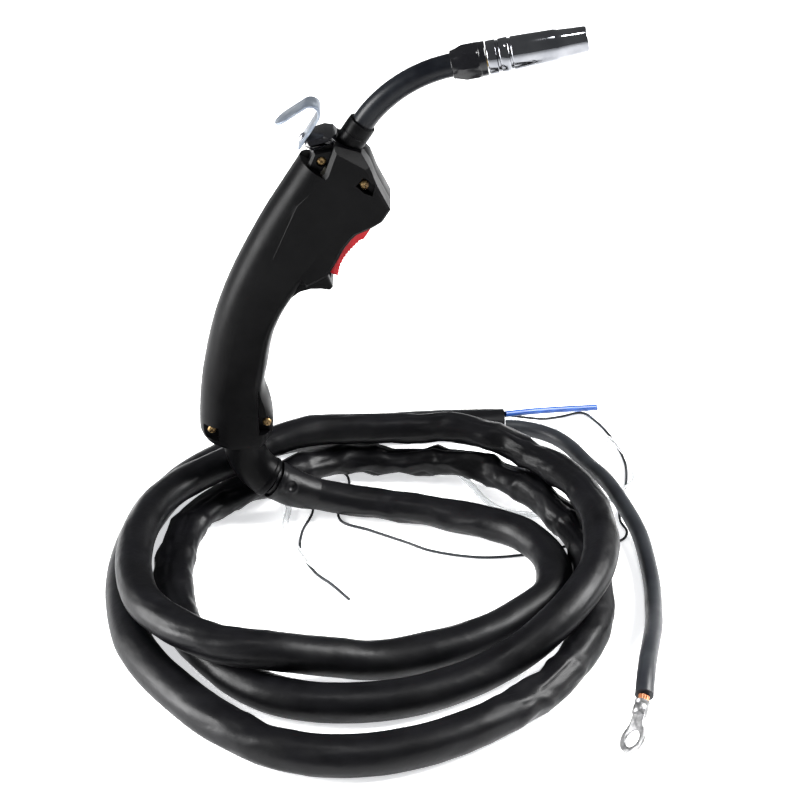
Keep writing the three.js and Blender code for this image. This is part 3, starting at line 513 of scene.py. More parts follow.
def jacket_shape(run, angle):
    slack = along_run(JACKET_SLACK, run)
    loose = slack**1.6
    broad = noise.noise(Vector((math.cos(angle) * 0.8, math.sin(angle) * 0.8, run / 70)))
    oval = along_run(JACKET_FLATNESS, run) * math.cos(2 * angle)
    if angle % (2 * math.pi) < math.pi:
        oval = max(0.0, oval)
    buckles = BUCKLE_DEPTH * loose * facets(run, angle, 30, 0.4, 3)
    dents = DENT_DEPTH * slack * facets(run, angle, 55, 0.45, 8)
    creases = CREASE_DEPTH * slack * ripple(run, angle, 80, 0.01, 5)
    creases += FINE_CREASE_DEPTH * loose * ripple(run, angle, 23, -0.02, 11)
    swell = along_run(JACKET_SPREAD, run) + 0.12 * loose
    size = 1.0 + swell + oval + 0.04 * broad - buckles - dents - creases
    return min(WIDEST, max(THINNEST, size))


def rest_on_floor(piece):
    """Flattens a limp cover where it would reach below the floor that it lies on."""
    floor = at(0, 0, FLOOR_CLEARANCE).z
    for vertex in piece.data.vertices:
        vertex.co.z = max(vertex.co.z, floor)


def add_cord(name, node, route, diameter, spacing, material, slot, facts, **form):
    """A cord on its route. facts are not used, and form is what tube() takes."""
    line = catmull(route, spacing)
    piece = tube(name, line, diameter / 2, material, "cable", slot, **form)
    if name == "jacket":
        rest_on_floor(piece)
    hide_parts(node)


def add_cords():
    limp = {"far_end": "bare", "stiffness": "limp"}
    add_cord(
        "jacket", "cable_jacket", JACKET_ROUTE, JACKET_DIAMETER, 2.3, "jacket", "jacket_rubber", limp,
        sides=60, shape=jacket_shape,
    )
    lead_end = {"far_end": "connector", "stiffness": "limp", "with_pieces": [add_lug(), lead_strands()]}
    add_cord(
        "thick_lead", "power_lead", POWER_LEAD_ROUTE, LEAD_DIAMETER, 3, "lead", "jacket_rubber", lead_end
    )
    liner_end = {"far_end": "bare", "stiffness": "medium", "with_pieces": ["liner_end"]}
    add_cord(
        "liner", "wire_liner", WIRE_LINER_ROUTE, LINER_DIAMETER, 2, "blue", "liner_blue", liner_end,
        sides=20, bore=1.1,
    )
    add_cord(
        "thin_lead", "switch_lead", SWITCH_LEAD_ROUTE, SWITCH_LEAD_DIAMETER, 2, "lead", "jacket_rubber",
        limp, sides=12,
    )
    add_cord(
        "clear_tube", "gas_tube", GAS_TUBE_ROUTE, GAS_TUBE_DIAMETER, 2.5, "clear", "tube_clear", limp,
        sides=20, bore=1.35,
    )


# ---- lug ------------------------------------------------------------------------------------------------
LUG_START = Vector(POWER_LEAD_ROUTE[-1])
LUG_AXIS = Vector((-0.3, -0.82, -0.47)).normalized()
STRAND_ENDS = (0.4, 3.9)
STRAND_R = 0.62
STRAND_RINGS = ((0, 1), (1.3, 6), (2.6, 12))


def lead_strands():
    """The bare end of the conductor: two rings of fine wires round a middle one."""
    vertices = []
    faces = []
    sides = 8
    profile = [(STRAND_R, distance) for distance in STRAND_ENDS]
    for ring_radius, count in STRAND_RINGS:
        for ray in rays_round(LUG_AXIS, count):
            start = len(vertices)
            vertices += turned_rings(profile, LUG_START + ray * ring_radius, LUG_AXIS, sides)
            faces += [tuple(start + i for i in face) for face in loft_faces(2, sides)]
    piece = new_piece("bare_strands", vertices, faces, "copper", "cable")
    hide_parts("lead_strands")
    return piece


# ---- cutting and joining ----------------------------------------------------------------------------------
def raw_solid(vertices, faces):
    """A closed solid in millimetres that is only used to build a piece."""
    mesh = bpy.data.meshes.new("raw")
    mesh.from_pydata([at(*v) for v in vertices], [], faces)
    face_outwards(mesh)
    return new_object("raw", mesh)


def apply_modifiers(solid):
    evaluated = solid.evaluated_get(bpy.context.evaluated_depsgraph_get())
    mesh = bpy.data.meshes.new_from_object(evaluated)
    solid.modifiers.clear()
    solid.data = mesh


def combine(solid, tools, operation):
    """The solid joined to, cut by or kept inside each tool. The tools are used up."""
    for tool in tools:
        step = solid.modifiers.new("step", "BOOLEAN")
        step.operation = operation
        step.solver = "EXACT"
        step.object = tool
    apply_modifiers(solid)
    for tool in tools:
        bpy.data.objects.remove(tool)
    return solid


def soften(solid, width, angle=35):
    """Rounds the solid's sharp edges by a width in millimetres."""
    bevel = solid.modifiers.new("edges", "BEVEL")
    bevel.width = width * MM
    bevel.segments = 2
    bevel.limit_method = "ANGLE"
    bevel.angle_limit = math.radians(angle)
    apply_modifiers(solid)
    return solid


def piece_of(solid, name, material, body, smooth_angle=35):
    mesh = solid.data
    mesh.name = name
    bpy.data.objects.remove(solid)
    return finish_piece(name, mesh, material, body, smooth_angle)


def inset(outline, distance):
    """The outline moved inwards by a distance, corner by corner."""
    area = sum(a[0] * b[1] - b[0] * a[1] for a, b in zip(outline, outline[1:] + outline[:1]))
    sign = 1 if area > 0 else -1
    moved = []
    for k, point in enumerate(outline):
        here = Vector(point)
        before = (here - Vector(outline[k - 1])).normalized()
        after = (Vector(outline[(k + 1) % len(outline)]) - here).normalized()
        inward_before = Vector((-before.y, before.x)) * sign
        inward_after = Vector((-after.y, after.x)) * sign
        middle = (inward_before + inward_after).normalized()
        reach = distance / max(0.35, middle.dot(inward_after))
        moved.append(tuple(here + middle * reach))
    return moved


def plate(outline, half_width, chamfer=0.0):
    """A side-view outline of (x, z) corners as a solid to both sides of the middle plane."""
    count = len(outline)
    rings = [(-half_width, outline), (half_width, outline)]
    if chamfer:
        small = inset(outline, chamfer)
        flat = half_width - chamfer
        rings = [(-half_width, small), (-flat, outline), (flat, outline), (half_width, small)]
    vertices = [(x, y, z) for y, ring in rings for x, z in ring]
    return raw_solid(vertices, loft_faces(len(rings), count))


def box(low, high):
    corners = [(x, y, z) for x in (low[0], high[0]) for y in (low[1], high[1]) for z in (low[2], high[2])]
    faces = [(0, 1, 3, 2), (4, 6, 7, 5), (0, 4, 5, 1), (2, 3, 7, 6), (0, 2, 6, 4), (1, 5, 7, 3)]
    return raw_solid(corners, faces)


def pocket(corners, floor):
    """A straight-sided pocket from the near side, with its (x, z) corners and the y of its floor."""
    return raw_solid([(x, y, z) for y in (-30, floor) for x, z in corners], loft_faces(2, len(corners)))


def rectangle(low, high):
    """The corners of a rectangle, in order round it."""
    return [low, (high[0], low[1]), high, (low[0], high[1])]


def slab(origin, axes, corners, heights):
    """A solid on corners measured along the first two axes, between two heights along the third."""
    along, across, up = axes
    vertices = [origin + along * a + across * b + up * height for height in heights for a, b in corners]
    return raw_solid(vertices, loft_faces(2, len(corners)))


def turned_solid(profile, base, axis, sides):
    """A profile of (radius, distance) that starts and ends on the axis, turned about it."""
    vertices = turned_rings(profile[1:-1], base, axis.normalized(), sides)
    return raw_solid(vertices, loft_faces(len(profile) - 2, sides))


def rod(radius, start, end, sides=32):
    start = Vector(start)
    end = Vector(end)
    rays = rays_round((end - start).normalized(), sides)
    vertices = [point + ray * radius for point in (start, end) for ray in rays]
    return raw_solid(vertices, loft_faces(2, sides))


# ---- casing ---------------------------------------------------------------------------------------------
WALL = 2.6
GAP = 0.3
SPLIT = 0.15
GRIP_HALF_WIDTH = 17
HEAD_HALF_WIDTH = 17
GRIP_STATIONS = [
    ((-116, 61.5), (-84, 65)), ((-122.5, 64), (-80.8, 68)), ((-126, 70), (-80, 74)),
    ((-126.3, 78), (-80, 82)), ((-125.6, 89), (-81.5, 92)), ((-124.2, 102), (-84.4, 103)),
    ((-121.2, 120), (-82, 117)), ((-115.6, 144), (-78, 137.5)), ((-109.5, 163), (-72.4, 152.2)),
    ((-102, 181), (-65.2, 164.7)), ((-92, 201), (-52, 184)), ((-80, 222.5), (-44, 204)),
    ((-68, 241.5), (-36, 225)), ((-58.5, 256.5), (-27, 238.5)),
]
TRIGGER_SEAT = [
    (-43.3, 183.7), (-38.1, 192.5), (-33.5, 201.5), (-29, 207.9), (-25.9, 211.1), (-20, 213.9),
    (-14.5, 216.9),
]
TRIGGER_SLOT = [
    (-5, 210.5), (-8, 221), (-19, 222.5), (-27, 221.5), (-36, 214), (-44, 202.5), (-49.5, 191),
    (-47, 182.9), (-41.4, 178.7), (-30, 172.5),
]
HEAD_OUTLINE = [
    (-37.5, 267.5), (-22.3, 261.5), (-17.5, 254.5), (-13.5, 243.5), (-5.5, 227.5), (-10.4, 219.8),
    *reversed(TRIGGER_SEAT),
    (-56, 176.5), (-78, 196), (-62, 232), (-43.5, 250.5),
]
HEAD_CAVITY = [
    (-38, 262), (-25, 256), (-20.5, 244), (-12, 228), (-16, 222), (-30, 215.5), (-38, 202.5), (-48, 184.5),
    (-66, 182.5), (-84, 170), (-66, 222), (-46, 250),
]
SPUR_OUTLINE = [
    (-68, 164.5), (-64.2, 168.5), (-60, 171.8), (-53.3, 173.8), (-47, 173.9), (-42, 173.1), (-40, 175.1),
    (-43.3, 183.7), (-50, 192.5), (-70, 186.5),
]
NECK_BLOCK_OUTLINE = [(-54, 252.5), (-50, 262), (-40, 264.5), (-28, 258), (-36, 238), (-50, 242)]
SPUR_HALF_WIDTH = 13
NECK_BLOCK_HALF_WIDTH = 11
CHEEK_LINE = [(-26.3, 244.8), (-67.5, 173.6)]
CHEEK_ANGLE = math.radians(2.2)
TOP_FACET_POINT = Vector((-27.25, -13, 261.9))
TOP_FACET_NORMAL = Vector((0.399, -0.617, 0.679)).normalized()
SCREWS = {
    "upper_back": (-45.4, 256.5, -9),
    "upper_front": (-20.6, 243.5, -13.6),
    "lower_back": (-117.8, 74, -9.5),
    "lower_front": (-83.2, 80, -10.5),
}
TRIGGER_PIVOT = (-22.3, 218.1)
SWIVEL_X = -99
KNUCKLE_R = 13.5
COLLAR_R = 8.5


def grip_section(back, front, half_width, arc_steps=9):
    """A full round back and a tighter front edge, with flat sides between them."""
    back_share = 0.42
    front_share = 0.16
    half = []
    for k in range(arc_steps + 1):
        angle = k / arc_steps * math.pi / 2
        half.append((back_share * (1 - math.cos(angle)), half_width * math.sin(angle)))
    for k in range(arc_steps + 1):
        angle = k / arc_steps * math.pi / 2
        half.append((1 - front_share * (1 - math.sin(angle)), half_width * math.cos(angle)))
    other = [(share, -y) for share, y in reversed(half[1:-1])]
    return [
        (back[0] + (front[0] - back[0]) * share, y, back[1] + (front[1] - back[1]) * share)
        for share, y in half + other
    ]


def grip_solid(stations, shrink, half_width, substeps):
    """The grip through its stations, with smooth back and front edges between them."""
    backs = catmull_each([back for back, _ in stations], substeps)
    fronts = catmull_each([front for _, front in stations], substeps)
    rings = []
    for back, front in zip(backs, fronts):
        along = (front - back).normalized()
        rings.append(grip_section(back + along * shrink, front - along * shrink, half_width - shrink))
    vertices = [point for ring in rings for point in ring]
    return raw_solid(vertices, loft_faces(len(rings), len(rings[0])))


def catmull_each(points, substeps):
    """The same number of points on every span of a smooth curve through 2-D points."""
    p = [Vector(q) for q in points]
    p = [p[0] * 2 - p[1]] + p + [p[-1] * 2 - p[-2]]
    made = []
    for i in range(1, len(p) - 2):
        for k in range(substeps):
            t = k / substeps
            a, b, c, d = p[i - 1 : i + 3]
            squared = (2 * a - 5 * b + 4 * c - d) * t**2
            cubed = (3 * b - a - 3 * c + d) * t**3
            made.append(0.5 * (2 * b + (c - a) * t + squared + cubed))
    made.append(p[-2])
    return made


def neck_root(distance):
    return NECK_START + NECK_ROOT_AXIS * distance


def top_facet_cutter(side):
    """A slab whose lower face takes the head's top corner off on one side."""
    mirrored = Vector((1, side, 1))
    normal = TOP_FACET_NORMAL * mirrored
    across = normal.cross(UP).normalized()
    axes = (across, normal.cross(across), normal)
    return slab(TOP_FACET_POINT * mirrored, axes, rectangle((-30, -30), (30, 30)), (0, 30))


def cheek_cutter(side):
    """A slab that turns the head's flat side a little towards the nose, from a line in front of the grip."""
    start, end = [Vector((x, GRIP_HALF_WIDTH * side, z)) for x, z in CHEEK_LINE]
    along = (start - end).normalized()
    forward = Vector((along.z, 0, -along.x))
    sideways = Vector((0, side, 0))
    slope = forward * math.cos(CHEEK_ANGLE) - sideways * math.sin(CHEEK_ANGLE)
    outward = forward * math.sin(CHEEK_ANGLE) + sideways * math.cos(CHEEK_ANGLE)
    return slab(end, (along, slope, outward), rectangle((-30, 0), (110, 80)), (0, 20))


def casing_outside():
    grip = grip_solid(GRIP_STATIONS, 0, GRIP_HALF_WIDTH, 4)
    head = plate(HEAD_OUTLINE, HEAD_HALF_WIDTH, 2.4)
    combine(head, [top_facet_cutter(1), top_facet_cutter(-1)], "DIFFERENCE")
    spur = soften(plate(SPUR_OUTLINE, SPUR_HALF_WIDTH, 1.2), 0.6)
    block = plate(NECK_BLOCK_OUTLINE, NECK_BLOCK_HALF_WIDTH, 1.5)
    return combine(grip, [head, spur, block], "UNION")


def casing_tools():
    tools = [
        rod(KNUCKLE_R + 0.6, (SWIVEL_X, 0, 50), (SWIVEL_X, 0, 95), 64),
        rod(COLLAR_R + GAP, neck_root(-58), neck_root(10), 64),
        plate(TRIGGER_SLOT, 7.3),
        pocket([(-25.6, 243.6), (-20.9, 249.2), (-14.4, 243.6), (-15.9, 236.9), (-20.6, 238.9)], -12.9),
        box((-128, -20, 68.5), (-113.2, -9.3, 78)),
        box((-88, -20, 73.5), (-78, -10.3, 84.5)),
        box((-88, -20, 84.4), (-78, -13.4, 104)),
        cheek_cutter(1),
        cheek_cutter(-1),
    ]
    for x, z, seat in SCREWS.values():
        tools.append(rod(SCREW_SHANK_R + GAP, (x, -30, z), (x, 12, z)))
        tools.append(rod(SCREW_HEAD_R + 0.4, (x, -30, z), (x, seat, z)))
    return tools


def add_casing():
    outside = casing_outside()
    inner_stations = [s for s in GRIP_STATIONS if 88 < s[0][1] < 250]
    inside = grip_solid(inner_stations, WALL, GRIP_HALF_WIDTH, 2)
    combine(inside, [plate(HEAD_CAVITY, HEAD_HALF_WIDTH - WALL)], "UNION")
    whole = combine(outside, [inside, *casing_tools()], "DIFFERENCE")
    for name, node, low, high in (
        ("shell_left", "casing_left", -60, -SPLIT),
        ("shell_right", "casing_right", SPLIT, 60),
    ):
        twin = new_object("raw", whole.data.copy())
        half = combine(twin, [box((-200, low, 0), (100, high, 400))], "INTERSECT")
        soften(half, 0.3, 40)
        shell = piece_of(half, name, "moulded", "handle", 30)
        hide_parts(node)
    bpy.data.objects.remove(whole)


# ---- screws ---------------------------------------------------------------------------------------------
SCREW_HEAD_HEIGHT = 1.9
SCREW_HEAD_R = 2.8
SCREW_SHANK_R = 1.5
SCREW_END_Y = 11.5
HOOK_SCREW_HEAD_R = 2.6
HOOK_SCREW_SHANK_R = 1.25
HOOK_SCREW_LENGTH = 7
RECESS_DEPTH = 1
RECESS_REACH = 0.62
RECESS_HALF_WIDTH = 0.13


def add_screw(name, node, seat, inward, length, head_radius, shank_radius, material):
    """A domed screw with a cross recess. The seat is where the head's underside sits."""
    inward = inward.normalized()
    profile = [(0, -SCREW_HEAD_HEIGHT)]
    for k in range(1, 7):
        angle = k / 6 * math.pi / 2
        rise = (SCREW_HEAD_HEIGHT - GAP) * math.cos(angle) ** 0.8
        profile.append((head_radius * math.sin(angle), -GAP - rise))
    profile += [(head_radius, -GAP), (shank_radius, -GAP), (shank_radius, length), (0, length)]
    body = turned_solid(profile, seat, inward, 32)
    across = inward.orthogonal().normalized()
    other = inward.cross(across)
    recess = []
    for along, beside in ((across, other), (other, across)):
        corners = []
        for depth in (-SCREW_HEAD_HEIGHT - 1, -SCREW_HEAD_HEIGHT + RECESS_DEPTH):
            for a, b in rectangle((-1, -1), (1, 1)):
                reach = along * a * head_radius * RECESS_REACH + beside * b * head_radius * RECESS_HALF_WIDTH
                corners.append(seat + inward * depth + reach)
        recess.append(raw_solid(corners, loft_faces(2, 4)))
    combine(body, recess, "DIFFERENCE")
    screw = piece_of(body, name, material, "handle", 40)
    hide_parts(node)


def add_screws():
    for name, (x, z, seat) in SCREWS.items():
        add_screw(
            f"screw_{name}", f"casing_screw_{name}", Vector((x, seat, z)), Vector((0, 1, 0)),
            SCREW_END_Y - seat, SCREW_HEAD_R, SCREW_SHANK_R, "screw",
        )
    add_screw(
        "screw_hook", "hook_screw", hook_screw_seat(-0.1), HOOK_LEG_NORMAL,
        HOOK_SCREW_LENGTH, HOOK_SCREW_HEAD_R, HOOK_SCREW_SHANK_R, "steel",
    )


# ---- trigger --------------------------------------------------------------------------------------------
TRIGGER_UPPER = [(-15.2, 215.7), (-18, 210.1), (-21.4, 204.7)]
TRIGGER_FACE = [
    (-24.6, 203.4), (-28.2, 199.5), (-31.6, 195.5), (-34.6, 190.7), (-36.3, 186.9), (-37.8, 180.3),
]
TRIGGER_INNER = [
    (-41.2, 181.7), (-44.6, 188.5), (-40.6, 197.7), (-36.4, 205.9), (-31, 212.1), (-25.6, 216.1),
    (-22, 216.1),
]
SERRATION_PITCH = 2.4
SERRATION_DEPTH = 0.8
TRIGGER_HALF_WIDTH = 6.6
TRIGGER_BOSS_R = 3.3
TRIGGER_BORE_R = 1.7


def serrated(points):
    """The trigger's finger face with a row of small teeth along it."""
    smooth = catmull([(x, 0, z) for x, z in points], SERRATION_PITCH / 2)
    teeth = []
    for k, point in enumerate(smooth):
        ahead = smooth[min(k + 1, len(smooth) - 1)] - smooth[max(k - 1, 0)]
        outward = Vector((-ahead.z, 0, ahead.x)).normalized()
        raised = point + outward * (SERRATION_DEPTH if k % 2 else 0.0)
        teeth.append((raised.x, raised.z))
    return teeth


def add_trigger():
    outline = TRIGGER_UPPER + serrated(TRIGGER_FACE) + TRIGGER_INNER
    body = soften(plate(outline, TRIGGER_HALF_WIDTH), 0.35, 50)
    x, z = TRIGGER_PIVOT
    boss = rod(TRIGGER_BOSS_R, (x, -TRIGGER_HALF_WIDTH, z), (x, TRIGGER_HALF_WIDTH, z), 48)
    combine(body, [boss], "UNION")
    combine(body, [rod(TRIGGER_BORE_R, (x, -20, z), (x, 20, z))], "DIFFERENCE")
    trigger = piece_of(body, "trigger_lever", "red", "trigger", 40)
    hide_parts("trigger")


# ---- neck, holder and nozzle ------------------------------------------------------------------------------
NECK_START = Vector((-22, 0, 275.5))
NECK_START_ANGLE = math.radians(57)
NOZZLE_ANGLE = math.radians(11.6)
NECK_ROOT_AXIS = Vector((math.cos(NECK_START_ANGLE), 0, math.sin(NECK_START_ANGLE)))
NOZZLE_AXIS = Vector((math.cos(NOZZLE_ANGLE), 0, math.sin(NOZZLE_ANGLE)))
NOZZLE_REAR = Vector((49.4, 0, 315.4))
NECK_BEND_R = 83
NECK_R = 6.8
NECK_CORE_R = 5
SPRING_R = 7
SPRING_WIRE_R = 0.45
SPRING_PITCH = 1.4
SPRING_TURNS = 3


def along_nozzle(distance):
    return NOZZLE_REAR + NOZZLE_AXIS * distance


def neck_line(root_distance, nozzle_distance, spacing):
    centre = NECK_START + Vector((NECK_ROOT_AXIS.z, 0, -NECK_ROOT_AXIS.x)) * NECK_BEND_R
    points = [neck_root(root_distance), neck_root(root_distance / 2), neck_root(-1.5)]
    steps = 7
    for k in range(steps + 1):
        angle = NECK_START_ANGLE + (NOZZLE_ANGLE - NECK_START_ANGLE) * k / steps
        points.append(centre + Vector((-math.sin(angle), 0, math.cos(angle))) * NECK_BEND_R)
    points += [along_nozzle(-12), along_nozzle(nozzle_distance)]
    return catmull(points, spacing)


def add_neck():
    sleeve = tube(
        "neck_cover", neck_line(-38, -6, 2), NECK_R, "neck", "handle", "casing_black",
        sides=48, bore=NECK_CORE_R + GAP,
    )
    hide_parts("neck_sleeve")
    bore = NECK_R + GAP
    collar_profile = [
        (bore, -22.8), (8.5, -22.8), (8.5, -7.2), (8.2, -6.9), (8.2, -6.4), (8.5, -6.1), (8.5, -1.2),
        (8.35, -0.6), (8.35, 0.6), (8.1, 1.0), (7.6, 1.2), (bore, 1.2), (bore, -22.8),
    ]
    collar = turned(
        "collar", collar_profile[:-1], NECK_START, NECK_ROOT_AXIS, "moulded", "handle"
    )
    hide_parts("neck_collar")


def octagon(angle):
    """How far an eight-sided outline lies inside its corners' circle at an angle."""
    eighth = math.pi / 4
    off = (angle % eighth) - eighth / 2
    return math.cos(eighth / 2) / math.cos(off)


def add_holder():
    """The black insulator behind the nozzle: round ends with eight flats between them."""
    sides = 96
    rings = [
        (7.3, -20.5, 0), (7.9, -20.5, 0), (8.3, -20.1, 0), (8.4, -19.2, 0), (9.6, -16.6, 1), (10.9, -13.2, 1),
        (10.9, -5.4, 1), (10.2, -4.6, 0), (10.2, -4.2, 0), (10.0, -3.9, 0), (10.0, -0.7, 0), (9.7, -0.3, 0),
        (5.4, -0.3, 0), (5.4, -5.7, 0), (7.3, -5.7, 0),
    ]
    vertices = []
    for radius, distance, flats in rings:
        for k, ray in enumerate(rays_round(NOZZLE_AXIS, sides)):
            reach = radius * (octagon(2 * math.pi * k / sides) if flats else 1.0)
            vertices.append(along_nozzle(distance) + ray * reach)
    faces = loft_faces(len(rings), sides, closed_loop=True)
    holder = new_piece("holder", vertices, faces, "gloss", "handle", 22)
    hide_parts("nozzle_holder")


def add_nozzle():
    rear = [
        (7.8, 0.2), (9.3, 0.2), (9.7, 0.6), (9.8, 1.0), (9.8, 5.5), (9.5, 5.8), (9.1, 6.1), (9.1, 7.1),
        (9.5, 7.4), (9.8, 7.8), (9.8, 12.4), (9.5, 12.8), (9.1, 13.1), (9.1, 14.1), (9.5, 14.4),
    ]
    front = [
        (9.7, 14.9), (9.3, 27), (8.9, 38.8), (8.8, 39.6), (8.5, 40.6), (8.3, 41.2), (7.9, 47), (7.3, 56.4),
        (7.15, 57.1), (6.8, 57.5), (6.4, 57.5), (6.2, 57.1), (6.4, 42), (7.8, 18),
    ]
    nozzle = turned(
        "nozzle", rear + front, NOZZLE_REAR, NOZZLE_AXIS, "chrome", "nozzle", 96, 40
    )
    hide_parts("gas_nozzle")


def add_diffuser_and_tip():
    core = 2.3
    diffuser = turned(
        "diffuser",
        [
            (core, -0.6), (4.9, -0.6), (4.9, 0.1), (7.2, 0.1), (7.2, 2.6), (6.2, 2.6), (6.2, 8.6), (7.2, 8.6),
            (7.2, 12), (5, 13), (5, 23.6), (4.6, 24), (3.3, 24), (3.3, 12.7), (core, 12.7),
        ],
        NOZZLE_REAR, NOZZLE_AXIS, "brass", "handle",
    )
    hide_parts("gas_diffuser")
    tip = turned(
        "tip",
        [(0.6, 13), (3, 13), (3, 49.4), (2.9, 50), (2.3, 54), (1.9, 54.5), (0.6, 54.5)],
        NOZZLE_REAR, NOZZLE_AXIS, "copper", "handle", 48,
    )
    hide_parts("contact_tip")


def add_spring():
    """The coil round the diffuser that grips the nozzle from inside."""
    per_turn = 24
    rays = rays_round(NOZZLE_AXIS, per_turn)
    points = []
    for k in range(SPRING_TURNS * per_turn + 1):
        points.append(along_nozzle(3.5 + SPRING_PITCH * k / per_turn) + rays[k % per_turn] * SPRING_R)
    spring = tube("grip_spring", points, SPRING_WIRE_R, "steel", "handle", "plain_steel", sides=10)
    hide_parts("nozzle_spring")


# ---- cap and hook -----------------------------------------------------------------------------------------
CAP_OUTLINE = [
    (-53.6, 268.4), (-44, 271.8), (-39, 271), (-36.8, 268.8), (-42, 266.4), (-50, 262.9), (-55.2, 265.8),
]
HOOK_HALF_WIDTH = 7.5
HOOK_THICKNESS = 1.5
HOOK_BEND_CENTRE = Vector((-51.5, 0, 283.6))
HOOK_BEND_R = 5.2
HOOK_ARM_ANGLE = math.radians(34)
HOOK_LEG_ANGLE = math.radians(58)
HOOK_ARM_LENGTH = 21.2
HOOK_LEG_LENGTH = 21.6
HOOK_SCREW_DROP = 16.4
HOOK_ARM_AXIS = Vector((math.cos(HOOK_ARM_ANGLE), 0, math.sin(HOOK_ARM_ANGLE)))
HOOK_LEG_AXIS = Vector((math.cos(HOOK_LEG_ANGLE), 0, math.sin(HOOK_LEG_ANGLE)))
HOOK_LEG_NORMAL = Vector((HOOK_LEG_AXIS.z, 0, -HOOK_LEG_AXIS.x))


def hook_screw_seat(inward):
    point = HOOK_BEND_CENTRE - HOOK_LEG_AXIS * HOOK_SCREW_DROP
    return point + HOOK_LEG_NORMAL * (HOOK_BEND_R - HOOK_THICKNESS / 2 + inward)


def add_cap():
    cap = soften(plate(CAP_OUTLINE, 13, 2.6), 0.3, 20)
    tools = [
        rod(COLLAR_R + GAP, neck_root(-30), neck_root(10), 64),
        rod(HOOK_SCREW_SHANK_R + GAP, hook_screw_seat(-6), hook_screw_seat(7.2), 24),
    ]
    combine(cap, tools, "DIFFERENCE")
    piece = piece_of(cap, "top_cap", "gloss", "handle", 25)
    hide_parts("rear_cap")


def hook_line():
    """The strip's middle line in side view, from the arm's tip round the bend to the leg's foot."""
    bend = []
    first = HOOK_ARM_ANGLE + math.pi / 2
    last = HOOK_LEG_ANGLE - math.pi / 2
    for k in range(17):
        angle = first + (last - first) * k / 16
        bend.append(HOOK_BEND_CENTRE + Vector((math.cos(angle), 0, math.sin(angle))) * HOOK_BEND_R)
    arm = [bend[0] - HOOK_ARM_AXIS * (HOOK_ARM_LENGTH * (1 - k / 14)) for k in range(14)]
    leg = [bend[-1] - HOOK_LEG_AXIS * (HOOK_LEG_LENGTH * k / 10) for k in range(1, 11)]
    return arm + bend + leg


def add_hook():
    line = hook_line()
    rings = []
    half = HOOK_THICKNESS / 2
    for k, (point, run) in enumerate(zip(line, runs_along(line))):
        along = (line[min(k + 1, len(line) - 1)] - line[max(k - 1, 0)]).normalized()
        normal = Vector((-along.z, 0, along.x))
        tip = min(1.0, run / HOOK_HALF_WIDTH)
        width = HOOK_HALF_WIDTH * max(0.3, math.sqrt(1 - (1 - tip) ** 2))
        for across, up in rectangle((-width, -half), (width, half)):
            rings.append(point + Vector((0, across, 0)) + normal * up)
    strip = soften(raw_solid(rings, loft_faces(len(line), 4)), 0.3, 50)
    combine(strip, [rod(HOOK_SCREW_SHANK_R + GAP, hook_screw_seat(-4), hook_screw_seat(6), 24)], "DIFFERENCE")
    piece = piece_of(strip, "hanging_hook", "zinc", "handle", 40)
    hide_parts("hook")


# ---- knuckle ----------------------------------------------------------------------------------------------
KNUCKLE_BORE_R = 10.9
KNUCKLE_MOUTH = (-83, 0, 31)
KNUCKLE_BEND = [(-99, 0, 58), (-97.6, 0, 49.5), (-92.8, 0, 40.2), (-87, 0, 34)]
KNUCKLE_TOP_Z = 78
CUFF_START = 1.4
CUFF_END = 33
CUFF_R = 12.4
RIVET_RUN = 8.5
RIVET_R = 3.6
RIVET_ANGLE = math.radians(-30)


def knuckle_shape(run, angle):
    """A rounded lip round the mouth."""
    lip = max(0.0, 1 - abs(run - 2.2) / 1.8) ** 0.5
    return 0.965 + 0.035 * min(1.0, lip * 1.4)


def cuff_shape(run, angle):
    """A soft flared end, with a rolled edge and a pressed ring like a rivet's."""
    taper = 1.0 - 0.17 * max(0.0, (run - 10) / (CUFF_END - 10)) ** 1.3
    rolled = 0.03 * math.exp(-((run - 2.0) ** 2) / 1.6)
    folds = 0.035 * noise.noise(Vector((math.cos(angle) * 1.6, math.sin(angle) * 1.6, run / 16)))
    off = (angle - RIVET_ANGLE + math.pi) % (2 * math.pi) - math.pi
    spot = math.hypot(run - RIVET_RUN, off * CUFF_R) / RIVET_R
    rivet = 0.06 * math.exp(-((spot - 1.0) ** 2) / 0.1) - 0.1 * math.exp(-(spot**2) / 0.35)
    return taper + rolled + folds + rivet


def add_knuckle():
    points = [KNUCKLE_MOUTH, *reversed(KNUCKLE_BEND), (SWIVEL_X, 0, 68), (SWIVEL_X, 0, KNUCKLE_TOP_Z)]
    line = catmull(points, 0.6)
    elbow = tube(
        "swivel_elbow", line, KNUCKLE_R, "moulded", "cable", "casing_black",
        sides=72, bore=KNUCKLE_BORE_R, shape=knuckle_shape,
    )
    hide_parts("knuckle")


def add_cuff():
    """The tapered cuff over the jacket's first stretch."""
    line = catmull(JACKET_ROUTE[:6], 0.7)
    stretch = [point for point, run in zip(line, runs_along(line)) if CUFF_START < run < CUFF_END]
    cuff = tube(
        "jacket_boot", stretch, CUFF_R, "jacket", "cable", "jacket_rubber",
        sides=96, bore=JACKET_DIAMETER / 2 + 0.2, shape=cuff_shape,
    )
    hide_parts("jacket_cuff")


# ---- ring lug ---------------------------------------------------------------------------------------------
LUG_ROLL = math.radians(38)
LUG_BARREL = (3.6, 12)
LUG_REACH = 26.5
LUG_RING_R = 8.8
LUG_HOLE_R = 5.2
LUG_THICKNESS = 1.6


